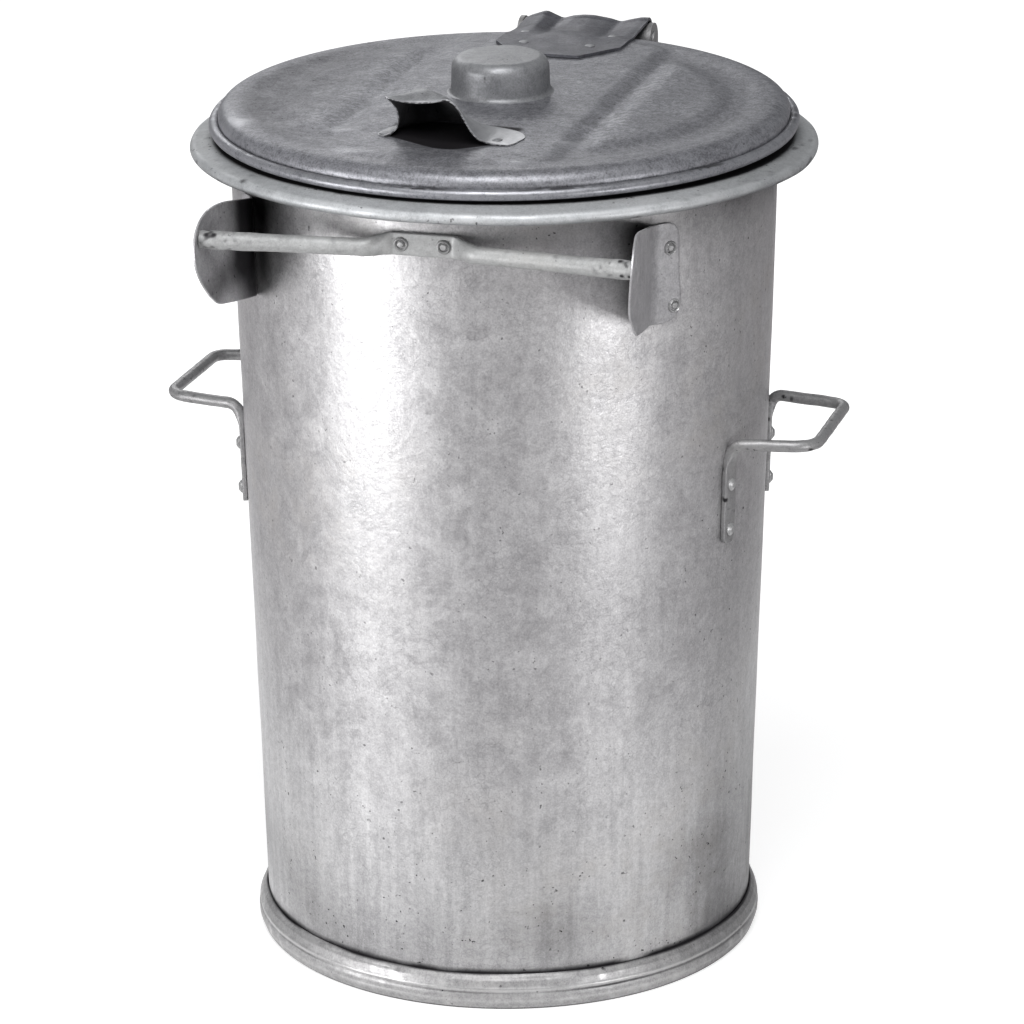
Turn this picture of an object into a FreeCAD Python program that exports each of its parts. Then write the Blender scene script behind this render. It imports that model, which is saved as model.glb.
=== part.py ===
import FreeCAD, Part
import math
import os
import re

import Sketcher

# A galvanized refuse bin with a hinged lid. Millimetres, +Z up, front towards -Y.
# The origin is on the floor, on the axis of the round body.

Vector = FreeCAD.Vector
TURN = 360
UP = Vector(0, 0, 1)
SIDE = Vector(1, 0, 0)

# Driving sizes: name, value, meaning.
SIZES = [
    ("wall_base", 213.5, "outer radius of the wall's cone at floor level"),
    ("wall_taper", 0.02646, "growth of the wall's radius for each mm of height"),
    ("wall_sheet", 1.5, "thickness of the wall and of the bottom pan"),
    ("wall_top", 711, "height of the wall's upper edge"),
    ("seat_gap", 0.3, "clearance between pieces with curved seats"),
    ("wire_gap", 0.5, "clearance between a wire and the roll round it"),
    ("foot_height", 30.8, "height of the foot ring"),
    ("foot_sheet", 2.8, "thickness of the foot ring"),
    ("foot_bulge", 5.4, "how far the foot ring stands out beyond its upper edge"),
    ("foot_bulge_height", 12, "height of the foot ring's fullest line"),
    ("foot_spread", 5, "how far the flat that the bin stands on reaches beyond the wall's base"),
    ("foot_rest", 10.5, "width of the flat that the bin stands on"),
    ("foot_lap", 7, "height over which the foot ring lies against the wall"),
    ("pan_height", 22, "height of the bottom pan's floor"),
    ("pan_bend", 5, "outer bend radius of the bottom pan"),
    ("rim_width", 28.69, "reach of the roll's centre beyond the wall's upper edge"),
    ("rim_drop", 5, "depth of the roll's centre below the wall's upper edge"),
    ("rim_roll", 5, "outer radius of the roll's section"),
    ("rim_sheet", 2, "thickness of the rim collar"),
    ("rim_fall", 10.2, "slope of the rim's flat, in degrees"),
    ("rim_bend", 5, "outer bend radius between skirt and flat"),
    ("rim_skirt", 24, "depth of the skirt that laps inside the wall"),
    ("lid_stand", 19.7, "height of the lid's curled edge above the rim's roll"),
    ("lid_tilt", 1.09, "lean of the closed lid, front edge down, in degrees"),
    ("lid_inset", 15.8, "distance of the lid's curled edge inside the rim's roll"),
    ("lid_curl", 4.7, "outer radius of the curl's section"),
    ("lid_sheet", 1.5, "thickness of the lid, the knob and the grip"),
    ("lid_rise", 17.3, "height of the shoulder's flat above the curl's centre"),
    ("lid_shoulder", 6, "outer radius of the lid's shoulder bend"),
    ("lid_border", 23.2, "width from the flat band's inner edge to the curl's centre"),
    ("lid_slope", 22, "width of the slope between crown and flat band"),
    ("lid_step_rise", 2, "height of the crown's edge above the flat band"),
    ("lid_crown_rise", 6, "height of the crown's middle above the flat band"),
    ("knob_radius", 41, "outer radius of the knob"),
    ("knob_flange", 7.5, "width of the knob's collar"),
    ("knob_height", 31.5, "height of the knob above its seat"),
    ("knob_round", 8, "outer radius of the knob's upper edge"),
    ("knob_root", 4, "inside bend radius between knob and collar"),
    ("grip_inset", 88.2, "distance of the grip's feet inside the lid's curled edge"),
    ("grip_half_foot", 58, "half the width across the grip's feet"),
    ("grip_left", 43, "distance of the grip's left cheek from its middle"),
    ("grip_right", 22, "distance of the grip's right cheek from its middle"),
    ("grip_height", 30, "height of the grip's hood"),
    ("grip_depth", 66, "depth of the grip, front to back"),
    ("grip_lip", 10, "forward reach of the hood's flared lip"),
    ("grip_rivet_inset", 11, "distance of the grip's rivets behind the feet's place"),
    ("grip_rivet_left", 50.5, "distance of the grip's left rivet from its middle"),
    ("grip_rivet_right", 37, "distance of the grip's right rivet from its middle"),
    ("strap_half", 57, "half the width of the hinge strap"),
    ("strap_sheet", 2.5, "thickness of the hinge strap"),
    ("strap_length", 140, "length of the strap from its front edge to the pin"),
    ("strap_corner", 27, "width cut off each front corner of the strap"),
    ("strap_corner_run", 42, "length cut off each front corner of the strap"),
    ("strap_rivet_first", 38, "distance of the front rivets from the strap's front edge"),
    ("strap_rivet_second", 79, "distance of the rear rivets from the strap's front edge"),
    ("strap_rivet_front_half", 30, "half the distance between the front rivets"),
    ("strap_rivet_rear_half", 40, "half the distance between the rear rivets"),
    ("hinge_out", 7, "distance of the hinge pin outside the rim's roll"),
    ("hinge_up", 31, "height of the hinge pin above the rim's roll"),
    ("barrel_radius", 16.5, "outer radius of the strap's rolled barrel"),
    ("barrel_wall", 3, "thickness of the barrel"),
    ("pin_radius", 5, "radius of the hinge pin"),
    ("pin_head", 1.5, "height of the pin's peened ends"),
    ("pin_head_radius", 7.5, "radius of the pin's peened ends"),
    ("running_gap", 0.05, "radial clearance of the hinge and of driven pins"),
    ("cheek_sheet", 4, "thickness of the hinge bracket's cheeks"),
    ("cheek_gap", 0.8, "clearance between the barrel's ends and the cheeks"),
    ("cheek_radius", 15, "radius of the cheek's round end"),
    ("cheek_front", 5.4, "how far the cheeks' arms reach in front of the pin"),
    ("cheek_foot", 16, "depth of the cheeks at their lower edge"),
    ("cheek_knee_drop", 38, "depth of the cheeks' outer corner below the rim's roll"),
    ("bracket_drop", 70, "depth of the bracket's lower edge below the rim's roll"),
    ("bracket_web", 54, "height of the bracket's web"),
    ("bracket_sheet", 3, "thickness of the bracket's curved web"),
    ("bracket_rivet_first", 14, "height of the lower rivets above the bracket's lower edge"),
    ("bracket_rivet_pitch", 26, "height between the bracket's rivets"),
    ("bracket_rivet_half", 38, "half the distance between the bracket's rivets"),
    ("rod_drop", 30.5, "depth of the tipping rod below the rim's roll"),
    ("rod_radius", 8, "radius of the tipping rod"),
    ("rod_flat", 5, "thickness of the rod's flattened middle"),
    ("rod_flat_half", 27, "half the length of the flattened middle"),
    ("rod_flat_width", 17, "height of the flattened middle"),
    ("rod_rivet_half", 18, "half the distance between the rod's rivets"),
    ("rod_stand", 12, "distance of the rod from the wall beside its middle"),
    ("rod_neck", 14, "length over which the flattened bar turns into the round one"),
    ("rod_lap", 1, "length over which neck and flattened middle run together"),
    ("ear_azimuth", 50.2, "azimuth of the ear's flange, from the front, in degrees"),
    ("ear_sheet", 3, "thickness of the ear"),
    ("ear_flange", 28, "width of the ear's flange"),
    ("ear_bend", 45.2, "bend between flange and plate, in degrees"),
    ("ear_bend_radius", 6, "inside bend radius of the ear"),
    ("ear_rod_reach", 95, "reach of the tipping rod's end from the bend"),
    ("ear_low_drop", 78.5, "depth of the ear's lower edge, at the bend, below the rod"),
    ("ear_high_rise", 8.5, "height of the ear's flange top above the rod"),
    ("ear_crest_rise", 22.5, "height of the plate's top above the rod"),
    ("ear_tip_drop", 61, "depth of the plate's lower tip below the rod"),
    ("ear_reach", 115, "reach of the plate from the bend"),
    ("ear_tip_reach", 76, "reach of the plate's lower tip from the bend"),
    ("ear_round", 37, "radius of the plate's upper front corner"),
    ("ear_belly", 70, "radius of the plate's front edge below that corner"),
    ("ear_rivet_side", 5, "distance of the ear's rivets from the flange's middle"),
    ("ear_rivet_first", 12.9, "depth of the ear's upper rivet below the rod"),
    ("ear_rivet_pitch", 50.4, "height between the ear's rivets"),
    ("handle_radius", 5, "radius of the side handles' rod"),
    ("handle_out", 60.92, "distance of the grip's middle line from the wall"),
    ("handle_half", 62, "half the length of the grip between its corners"),
    ("handle_height", 475.6, "height of the grip"),
    ("handle_foot_half", 72, "half the distance between a handle's legs"),
    ("handle_corner", 18, "bend radius at the grip's corners"),
    ("handle_elbow", 12, "bend radius at the top of the legs"),
    ("leg_drop", 86.6, "depth of the legs' lower ends below the grip"),
    ("leg_width", 17, "width of the flattened legs"),
    ("leg_thick", 4.5, "thickness of the flattened legs"),
    ("leg_length", 73, "length of the flattened part of a leg"),
    ("leg_rivet_pitch", 40, "height between a leg's rivets"),
    ("leg_rivet_first", 12, "height of the lower rivets above the legs' ends"),
    ("leg_overlap", 10, "length over which rod and flattened leg run together"),
    ("rivet_shank", 3, "radius of a rivet's shank"),
    ("rivet_head", 5.6, "radius of a rivet's head"),
    ("rivet_dome", 3.2, "height of a rivet's head"),
    ("rivet_clear", 0.1, "radial clearance of a rivet in its hole"),
]

# Sizes that follow from the others: name, rule.
RULES = {
    "rim_radius": "wall_base + wall_taper * wall_top + rim_width",
    "rim_height": "wall_top - rim_drop",
    "foot_edge": "wall_base + foot_spread",
    "lid_height": "rim_height + lid_stand",
    "lid_radius": "rim_radius - lid_inset",
    "lid_band": "lid_radius - lid_border",
    "lid_step": "lid_band - lid_slope",
    "hinge_reach": "rim_radius + hinge_out",
    "hinge_height": "rim_height + hinge_up",
    "strap_front": "hinge_reach - strap_length",
    "strap_rivet_front": "strap_front + strap_rivet_first",
    "strap_rivet_rear": "strap_front + strap_rivet_second",
    "knob_collar": "knob_radius + knob_flange",
    "grip_place": "lid_radius - grip_inset",
    "grip_rivet_place": "grip_place - grip_rivet_inset",
    "cheek_knee": "rim_height - cheek_knee_drop",
    "bracket_low": "rim_height - bracket_drop",
    "bracket_high": "bracket_low + bracket_web",
    "bracket_rivet_low": "bracket_low + bracket_rivet_first",
    "bracket_rivet_high": "bracket_rivet_low + bracket_rivet_pitch",
    "rod_height": "rim_height - rod_drop",
    "ear_low": "rod_height - ear_low_drop",
    "ear_high": "rod_height + ear_high_rise",
    "ear_crest": "rod_height + ear_crest_rise",
    "ear_tip": "rod_height - ear_tip_drop",
    "ear_nose": "ear_crest - ear_round",
    "ear_rivet_high": "rod_height - ear_rivet_first",
    "ear_rivet_low": "ear_rivet_high - ear_rivet_pitch",
    "handle_reach": "wall_base + wall_taper * handle_height + handle_out",
    "leg_low": "handle_height - leg_drop",
    "leg_high": "leg_low + leg_length",
    "leg_rivet_low": "leg_low + leg_rivet_first",
    "leg_rivet_high": "leg_rivet_low + leg_rivet_pitch",
}

doc = FreeCAD.newDocument("refuse_bin")
sheet = doc.addObject("Spreadsheet::Sheet", "dim")
for row, (name, value, meaning) in enumerate(SIZES, start=1):
    sheet.set(f"A{row}", meaning)
    sheet.set(f"B{row}", str(value))
    sheet.setAlias(f"B{row}", name)
doc.recompute()
GIVEN = {name for name, value, meaning in SIZES}


def bound(formula):
    """The formula with each size's name pointing at its cell in the sheet."""
    def cell(match):
        name = match[0]
        if name in RULES:
            return f"({bound(RULES[name])})"
        return f"dim.{name}" if name in GIVEN else name

    return re.sub(r"[a-z]\w*", cell, str(formula))


def size(formula):
    """The value of a formula over the sheet's cells."""
    return float(sheet.evalExpression(bound(formula)))


VALUES = {name: size(name) for name in [*GIVEN, *RULES]}


def drive(item, prop, formula):
    """Bind one property of an object to a formula over the sheet."""
    item.setExpression(prop, bound(formula))


def sketch_on(owner, role, name):
    """A new sketch on one of a body's own origin planes."""
    sketch = owner.newObject("Sketcher::SketchObject", name)
    plane = [item for item in owner.Origin.OriginFeatures if item.Role == role][0]
    sketch.AttachmentSupport = (plane, "")
    sketch.MapMode = "FlatFace"
    return sketch


def edge_between(start, end, bend):
    """A straight edge, or a minor arc of radius abs(bend): turning left if bend is positive."""
    if bend is None:
        return Part.LineSegment(start, end)
    chord = end - start
    left = Vector(-chord.y, chord.x, 0) / chord.Length
    radius = abs(bend)
    sagitta_side = math.copysign(1, bend)
    rise = math.sqrt(max(radius ** 2 - (chord.Length / 2) ** 2, 0))
    centre = (start + end) / 2 + left * (rise * sagitta_side)
    return Part.Arc(start, centre - left * (radius * sagitta_side), end)


def close_outline(sketch, corners):
    """Draw a closed outline whose corners and arcs are bound to the sheet.

    Each corner is (x, y) or (x, y, bend), with the bend of the edge that leaves the corner.
    """
    points = [Vector(size(corner[0]), size(corner[1]), 0) for corner in corners]
    count = len(corners)
    starts = []
    ends = []
    for index, corner in enumerate(corners):
        bend = size(corner[2]) if len(corner) > 2 else None
        edge = edge_between(points[index], points[(index + 1) % count], bend)
        added = sketch.addGeometry(edge)
        forward = (sketch.getPoint(added, 1) - points[index]).Length < 1e-6
        starts.append(1 if forward else 2)
        ends.append(2 if forward else 1)
    for index, corner in enumerate(corners):
        before = index - 1 if index else count - 1
        sketch.addConstraint(
            Sketcher.Constraint("Coincident", before, ends[before], index, starts[index]))
        for kind, axis, formula, place in (
                ("DistanceX", -2, corner[0], points[index].x),
                ("DistanceY", -1, corner[1], points[index].y)):
            if str(formula) == "0":
                sketch.addConstraint(
                    Sketcher.Constraint("PointOnObject", index, starts[index], axis))
                continue
            number = sketch.addConstraint(
                Sketcher.Constraint(kind, index, starts[index], place))
            drive(sketch, f"Constraints[{number}]", formula)
        if len(corner) > 2:
            number = sketch.addConstraint(
                Sketcher.Constraint("Radius", index, abs(size(corner[2]))))
            drive(sketch, f"Constraints[{number}]", f"abs({corner[2]})")


def turned(name, corners):
    """A body of revolution about the vertical axis, from (radius, height) corners."""
    body = doc.addObject("PartDesign::Body", name)
    sketch = sketch_on(body, "XZ_Plane", f"{name}_section")
    close_outline(sketch, corners)
    feature = body.newObject("PartDesign::Revolution", f"{name}_turn")
    feature.Profile = sketch
    feature.ReferenceAxis = (sketch, ["V_Axis"])
    feature.Angle = TURN
    return body


def padded(name, role, corners, length, symmetric=True):
    """A body made by padding one outline, evenly to both sides or along the plane's normal."""
    body = doc.addObject("PartDesign::Body", name)
    sketch = sketch_on(body, role, f"{name}_outline")
    close_outline(sketch, corners)
    feature = body.newObject("PartDesign::Pad", f"{name}_pad")
    feature.Profile = sketch
    feature.SideType = "Symmetric" if symmetric else "One side"
    drive(feature, "Length", length)
    return body


def boolean(kind, name, base, tool):
    """Cut or common part of two objects."""
    item = doc.addObject(kind, name)
    item.Base = base
    item.Tool = tool
    return item


def fused(name, pieces):
    """Several overlapping objects as one solid."""
    item = doc.addObject("Part::MultiFuse", name)
    item.Shapes = pieces
    item.Refine = True
    return item


def copies(name, source, places):
    """A group of separate solids: one linked copy of the source at each placement."""
    links = []
    for number, place in enumerate(places, start=1):
        link = doc.addObject("App::Link", f"{name}_{number}")
        link.LinkedObject = source
        link.Placement = place
        links.append(link)
    group = doc.addObject("Part::Compound", name)
    group.Links = links
    return group


def facing(outward, upright=UP):
    """Rotation that turns Z to the outward direction and keeps Y near the upright one."""
    return FreeCAD.Rotation(upright.cross(outward), upright, outward, "ZXY")


def wall_radius(height):
    """Formula of the wall's outer radius at a height."""
    return f"(wall_base + wall_taper * ({height}))"


def wall_place(azimuth, height, stand):
    """Placement on the wall: Z outward, square to the slope, stand mm off the surface."""
    turn = math.radians(azimuth)
    level = Vector(math.sin(turn), -math.cos(turn), 0)
    slope = math.atan(VALUES["wall_taper"])
    outward = level * math.cos(slope) - UP * math.sin(slope)
    foot = level * size(wall_radius(height)) + UP * height
    return FreeCAD.Placement(foot + outward * stand, facing(outward))


def azimuth_at(offset, height):
    """Azimuth, in degrees, of a point on the wall at a sideways distance."""
    return math.degrees(math.asin(offset / size(wall_radius(height))))


RIGHT = 90
REAR = 180


def lean(item):
    """Lean a piece of the lid forward about the middle of the lid's curled edge."""
    item.Placement.Rotation = FreeCAD.Rotation(SIDE, 1)
    drive(item, "Placement.Rotation.Angle", "lid_tilt")
    if item is not lid_wire:
        drive(item, "Placement.Base.y", "lid_height * sin(lid_tilt)")
        drive(item, "Placement.Base.z", "lid_height * (1 - cos(lid_tilt))")


def mirrored(name, source):
    """The same piece on the other side of the bin."""
    item = doc.addObject("Part::Mirroring", name)
    item.Source = source
    item.Normal = SIDE
    return item


# ---------------------------------------------------------------- rivets
# A rivet stands on the outer piece, with its shank through the pieces below it.


def riveting(name, stack, places):
    """A group of rivets for pieces that are stack mm thick in all, and their holes' drills."""
    inner = f"(0 - ({stack}))"
    form = turned(f"{name}_form", [
        (0, "rivet_dome"),
        ("rivet_head / 2", "rivet_dome"),
        ("rivet_head", "rivet_dome / 3"),
        ("rivet_head", 0),
        ("rivet_shank", 0),
        ("rivet_shank", inner),
        ("rivet_head", inner),
        ("rivet_head", f"{inner} - rivet_dome / 2"),
        (0, f"{inner} - rivet_dome / 2"),
    ])
    drill = doc.addObject("Part::Cylinder", f"{name}_drill")
    drive(drill, "Radius", "rivet_shank + rivet_clear")
    drive(drill, "Height", f"({stack}) + rivet_dome * 2")
    below = Vector(0, 0, -size(f"({stack}) + rivet_dome"))
    starts = [FreeCAD.Placement(place.multVec(below), place.Rotation) for place in places]
    return copies(name, form, places), copies(f"{name}_holes", drill, starts)


# ---------------------------------------------------------------- body of the bin


def make_foot_ring():
    """Pressed hoop, C-shaped in section, under and around the wall's lower edge."""
    lap = "(foot_height - foot_lap)"
    seat_top = f"({wall_radius('foot_height')} + seat_gap)"
    fullest = f"({seat_top} + foot_sheet + foot_bulge)"
    return turned("foot_ring", [
        (seat_top, "foot_height"),
        (f"{seat_top} + foot_sheet", "foot_height", "0 - foot_height * 1.3"),
        (fullest, "foot_bulge_height", "0 - foot_bulge_height * 1.3"),
        ("foot_edge", 0),
        ("foot_edge - foot_rest", 0),
        ("foot_edge - foot_rest", "foot_sheet"),
        ("foot_edge - foot_sheet / 2", "foot_sheet", "foot_bulge_height * 1.3 - foot_sheet"),
        (f"{fullest} - foot_sheet", "foot_bulge_height", "foot_height * 1.3 - foot_sheet"),
        (f"{wall_radius(lap)} + seat_gap", lap),
    ])


def make_pan():
    """Bottom sheet with a turned-down edge that stands on the foot ring."""
    def edge(height):
        return f"({wall_radius(height)} - wall_sheet - seat_gap)"

    bend_low = "(pan_height - pan_bend)"
    return turned("bottom_pan", [
        (0, "pan_height"),
        (f"{edge(bend_low)} - pan_bend", "pan_height", "0 - pan_bend"),
        (edge(bend_low), bend_low),
        (edge("foot_sheet"), "foot_sheet"),
        (f"{edge('foot_sheet')} - wall_sheet", "foot_sheet"),
        (f"{edge(bend_low)} - wall_sheet", bend_low, "pan_bend - wall_sheet"),
        (f"{edge(bend_low)} - pan_bend", "pan_height - wall_sheet"),
        (0, "pan_height - wall_sheet"),
    ])


def make_wall():
    """Slightly conical wall of the bin, before its rivet holes."""
    return turned("wall_blank", [
        (wall_radius("foot_sheet"), "foot_sheet"),
        (wall_radius("wall_top"), "wall_top"),
        (f"{wall_radius('wall_top')} - wall_sheet", "wall_top"),
        (f"{wall_radius('foot_sheet')} - wall_sheet", "foot_sheet"),
    ])


def make_rim_collar():
    """Skirt inside the wall, bend over the wall's edge, sloping flat and rolled outer edge."""
    low = "(wall_top - rim_skirt)"
    lap = f"({wall_radius('wall_top')} - wall_sheet - seat_gap)"
    lap_low = f"({wall_radius(low)} - wall_sheet - seat_gap)"
    inner_bend = "(rim_bend - rim_sheet)"
    inner_roll = "(rim_roll - rim_sheet)"
    bend_at = f"({lap} + {inner_bend})"
    bend_height = (f"(rim_height + (rim_radius - {bend_at}) * tan(rim_fall)"
                   " + (rim_roll - rim_bend) / cos(rim_fall))")

    def on_bend(radius):
        return f"{bend_at} + {radius} * sin(rim_fall)", f"{bend_height} + {radius} * cos(rim_fall)"

    def on_roll(radius, angle):
        return f"rim_radius + {radius} * cos({angle})", f"rim_height + {radius} * sin({angle})"

    curl_end = 210
    slope = "(90 - rim_fall)"
    return turned("rim_collar", [
        (f"{lap_low} - rim_sheet", low),
        (f"{lap} - rim_sheet", bend_height, "0 - rim_bend"),
        on_bend("rim_bend"),
        (*on_roll("rim_roll", slope), "0 - rim_roll"),
        (*on_roll("rim_roll", 0), "0 - rim_roll"),
        (*on_roll("rim_roll", 270), "0 - rim_roll"),
        on_roll("rim_roll", curl_end),
        (*on_roll(inner_roll, curl_end), inner_roll),
        (*on_roll(inner_roll, 270), inner_roll),
        (*on_roll(inner_roll, 0), inner_roll),
        on_roll(inner_roll, slope),
        (*on_bend(inner_bend), inner_bend),
        (lap, bend_height),
        (lap_low, low),
    ])


def make_ring_wire(name, radius, section, height):
    """Round wire hoop inside a rolled edge."""
    wire = doc.addObject("Part::Torus", name)
    drive(wire, "Radius1", radius)
    drive(wire, "Radius2", section)
    drive(wire, "Placement.Base.z", height)
    return wire


# ---------------------------------------------------------------- ears and tipping rod

BEND_AT = "(0 - ear_flange / 2)"


def ear_place():
    """Placement of the right ear: X towards the rear, Y up the wall, Z outward."""
    return wall_place(VALUES["ear_azimuth"], VALUES["rod_height"], VALUES["seat_gap"])


def make_ear():
    """Right ear: a flange on the wall and a plate that projects forward from its bend."""
    def along(reach, off):
        return (f"{BEND_AT} - ({reach}) * cos(ear_bend) + ({off}) * sin(ear_bend)",
                f"({reach}) * sin(ear_bend) + ({off}) * cos(ear_bend)")

    outer = "(ear_bend_radius + ear_sheet)"
    outer_run = f"{outer} * tan(ear_bend / 2)"
    inner_run = "ear_bend_radius * tan(ear_bend / 2)"
    corner = "ear_sheet * tan(ear_bend / 2)"
    strip = padded("ear_strip", "XZ_Plane", [
        ("ear_flange / 2", 0),
        (f"{BEND_AT} + {outer_run}", 0, f"0 - {outer}"),
        along(outer_run, 0),
        along("ear_reach", 0),
        along("ear_reach", "ear_sheet"),
        (*along(f"{inner_run} - {corner}", "ear_sheet"), "ear_bend_radius"),
        (f"{BEND_AT} + {corner} + {inner_run}", "ear_sheet"),
        ("ear_flange / 2", "ear_sheet"),
    ], "(rod_height - ear_low) * 2.4")

    def seen(reach, height):
        return f"{BEND_AT} - ({reach}) * cos(ear_bend)", f"{height} - rod_height"

    side = padded("ear_side", "XY_Plane", [
        ("ear_flange / 2", "ear_low - rod_height"),
        ("ear_flange / 2", "ear_high - rod_height"),
        seen("ear_bend_radius", "ear_high"),
        (*seen("ear_reach - ear_round", "ear_crest"), "ear_round"),
        (*seen("ear_reach", "ear_nose"), "ear_belly"),
        seen("ear_tip_reach", "ear_tip"),
        seen("ear_bend_radius", "ear_low"),
    ], "ear_reach * 2")
    blank = boolean("Part::Common", "ear_blank", strip, side)
    blank.Placement = ear_place()
    return blank


def ear_rivet_places():
    """Rivets through the right ear's flange."""
    stand = size("ear_sheet")
    side = VALUES["ear_rivet_side"]
    return [FreeCAD.Placement(ear_place().multVec(Vector(side, size(f"{height} - rod_height"), stand)),
                              ear_place().Rotation)
            for height in ("ear_rivet_high", "ear_rivet_low")]


def rod_end():
    """Where the tipping rod's axis passes the middle of the right ear's plate."""
    reach = "(ear_rod_reach)"
    return ear_place().multVec(Vector(
        size(f"{BEND_AT} - {reach} * cos(ear_bend) + ear_sheet / 2 * sin(ear_bend)"),
        0,
        size(f"{reach} * sin(ear_bend) + ear_sheet / 2 * cos(ear_bend)")))


def bar_between(name, start, end, radius):
    """Round bar between two points."""
    bar = doc.addObject("Part::Cylinder", name)
    drive(bar, "Radius", radius)
    bar.Height = (end - start).Length
    bar.Placement = FreeCAD.Placement(start, FreeCAD.Rotation(UP, end - start))
    return bar


def make_rod_arm(flat_middle):
    """Right arm of the tipping rod: a bent flat neck and a round bar up to the ear."""
    height = VALUES["rod_height"]
    neck_start = Vector(size("rod_flat_half - rod_lap"), flat_middle, height)
    arm_start = Vector(size("rod_flat_half + rod_neck"),
                       -size(f"{wall_radius('rod_height')} + rod_stand"), height)
    end = rod_end()
    direction = (end - arm_start).normalize()
    arm = bar_between("rod_arm", arm_start, end + direction * size("ear_sheet"), "rod_radius")
    run = arm_start - neck_start
    neck = doc.addObject("Part::Box", "rod_neck_bar")
    neck.Length = run.Length
    drive(neck, "Width", "rod_flat")
    drive(neck, "Height", "rod_flat_width")
    turn = FreeCAD.Rotation(SIDE, run)
    corner = turn.multVec(Vector(0, -VALUES["rod_flat"] / 2, -VALUES["rod_flat_width"] / 2))
    neck.Placement = FreeCAD.Placement(neck_start + corner, turn)
    knuckle = doc.addObject("Part::Sphere", "rod_knuckle")
    drive(knuckle, "Radius", "rod_radius")
    knuckle.Placement.Base = arm_start
    return fused("rod_side", [arm, neck, knuckle])


def make_rod():
    """Tipping rod before its rivet holes: flattened middle and two arms."""
    back = f"({wall_radius('rod_height + rod_flat_width / 2')} + seat_gap)"
    flat = doc.addObject("Part::Box", "rod_middle")
    drive(flat, "Length", "rod_flat_half * 2")
    drive(flat, "Width", "rod_flat")
    drive(flat, "Height", "rod_flat_width")
    drive(flat, "Placement.Base.x", "0 - rod_flat_half")
    drive(flat, "Placement.Base.y", f"0 - {back} - rod_flat")
    drive(flat, "Placement.Base.z", "rod_height - rod_flat_width / 2")
    right = make_rod_arm(-size(f"{back} + rod_flat / 2"))
    return fused("rod_blank", [flat, right, mirrored("rod_side_left", right)])


def rod_rivet_places():
    """Rivets through the rod's flattened middle."""
    face = -size(f"{wall_radius('rod_height + rod_flat_width / 2')} + seat_gap + rod_flat")
    return [FreeCAD.Placement(Vector(side * VALUES["rod_rivet_half"], face, VALUES["rod_height"]),
                              facing(Vector(0, -1, 0)))
            for side in (1, -1)]


# ---------------------------------------------------------------- side handles


def leg_azimuth(side):
    """Azimuth of a right-hand leg, in front of the side's middle (-1) or behind it (1)."""
    return RIGHT + side * azimuth_at(VALUES["handle_foot_half"], VALUES["handle_height"])


def bent_path(points, radii):
    """Wire of straight runs joined by tangent arcs at the inner points."""
    edges = []
    start = points[0]
    for index, radius in enumerate(radii, start=1):
        corner = points[index]
        back = (points[index - 1] - corner).normalize()
        ahead = (points[index + 1] - corner).normalize()
        half = back.getAngle(ahead) / 2
        run = radius / math.tan(half)
        middle = (back + ahead).normalize() * (radius / math.sin(half) - radius)
        edges.append(Part.LineSegment(start, corner + back * run).toShape())
        edges.append(Part.Arc(corner + back * run, corner + middle, corner + ahead * run).toShape())
        start = corner + ahead * run
    edges.append(Part.LineSegment(start, points[-1]).toShape())
    return Part.Wire(edges)


def make_handle_bar():
    """Round part of the right handle: two elbows over the legs and a grip between corners."""
    stand = size("seat_gap + handle_radius")
    elbows = [wall_place(leg_azimuth(side), VALUES["handle_height"], stand).Base
              for side in (-1, 1)]
    drop = size("handle_height - leg_high + leg_overlap")
    corners = [Vector(VALUES["handle_reach"], side * VALUES["handle_half"], elbows[0].z)
               for side in (-1, 1)]
    points = [elbows[0] - UP * drop, elbows[0], *corners, elbows[1], elbows[1] - UP * drop]
    radii = [VALUES[name] for name in
             ("handle_elbow", "handle_corner", "handle_corner", "handle_elbow")]
    path = bent_path(points, radii)
    section = Part.Wire(Part.makeCircle(VALUES["handle_radius"], points[0], UP))
    bar = doc.addObject("Part::Feature", "handle_bar")
    bar.Shape = path.makePipeShell([section], True, False)
    return bar


def make_leg(name, side):
    """Flattened leg of the right handle."""
    leg = doc.addObject("Part::Box", name)
    drive(leg, "Length", "leg_width")
    drive(leg, "Width", "leg_high - leg_low")
    drive(leg, "Height", "leg_thick")
    place = wall_place(leg_azimuth(side), VALUES["leg_low"], VALUES["seat_gap"])
    leg.Placement = FreeCAD.Placement(
        place.multVec(Vector(-VALUES["leg_width"] / 2, 0, 0)), place.Rotation)
    return leg


def handle_rivet_places():
    """Rivets through the right handle's legs."""
    stand = size("seat_gap + leg_thick")
    return [wall_place(leg_azimuth(side), VALUES[height], stand)
            for side in (-1, 1)
            for height in ("leg_rivet_low", "leg_rivet_high")]


# ---------------------------------------------------------------- hinge

CHEEK_IN = "(strap_half + cheek_gap)"
CHEEK_OUT = "(strap_half + cheek_gap + cheek_sheet)"


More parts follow.
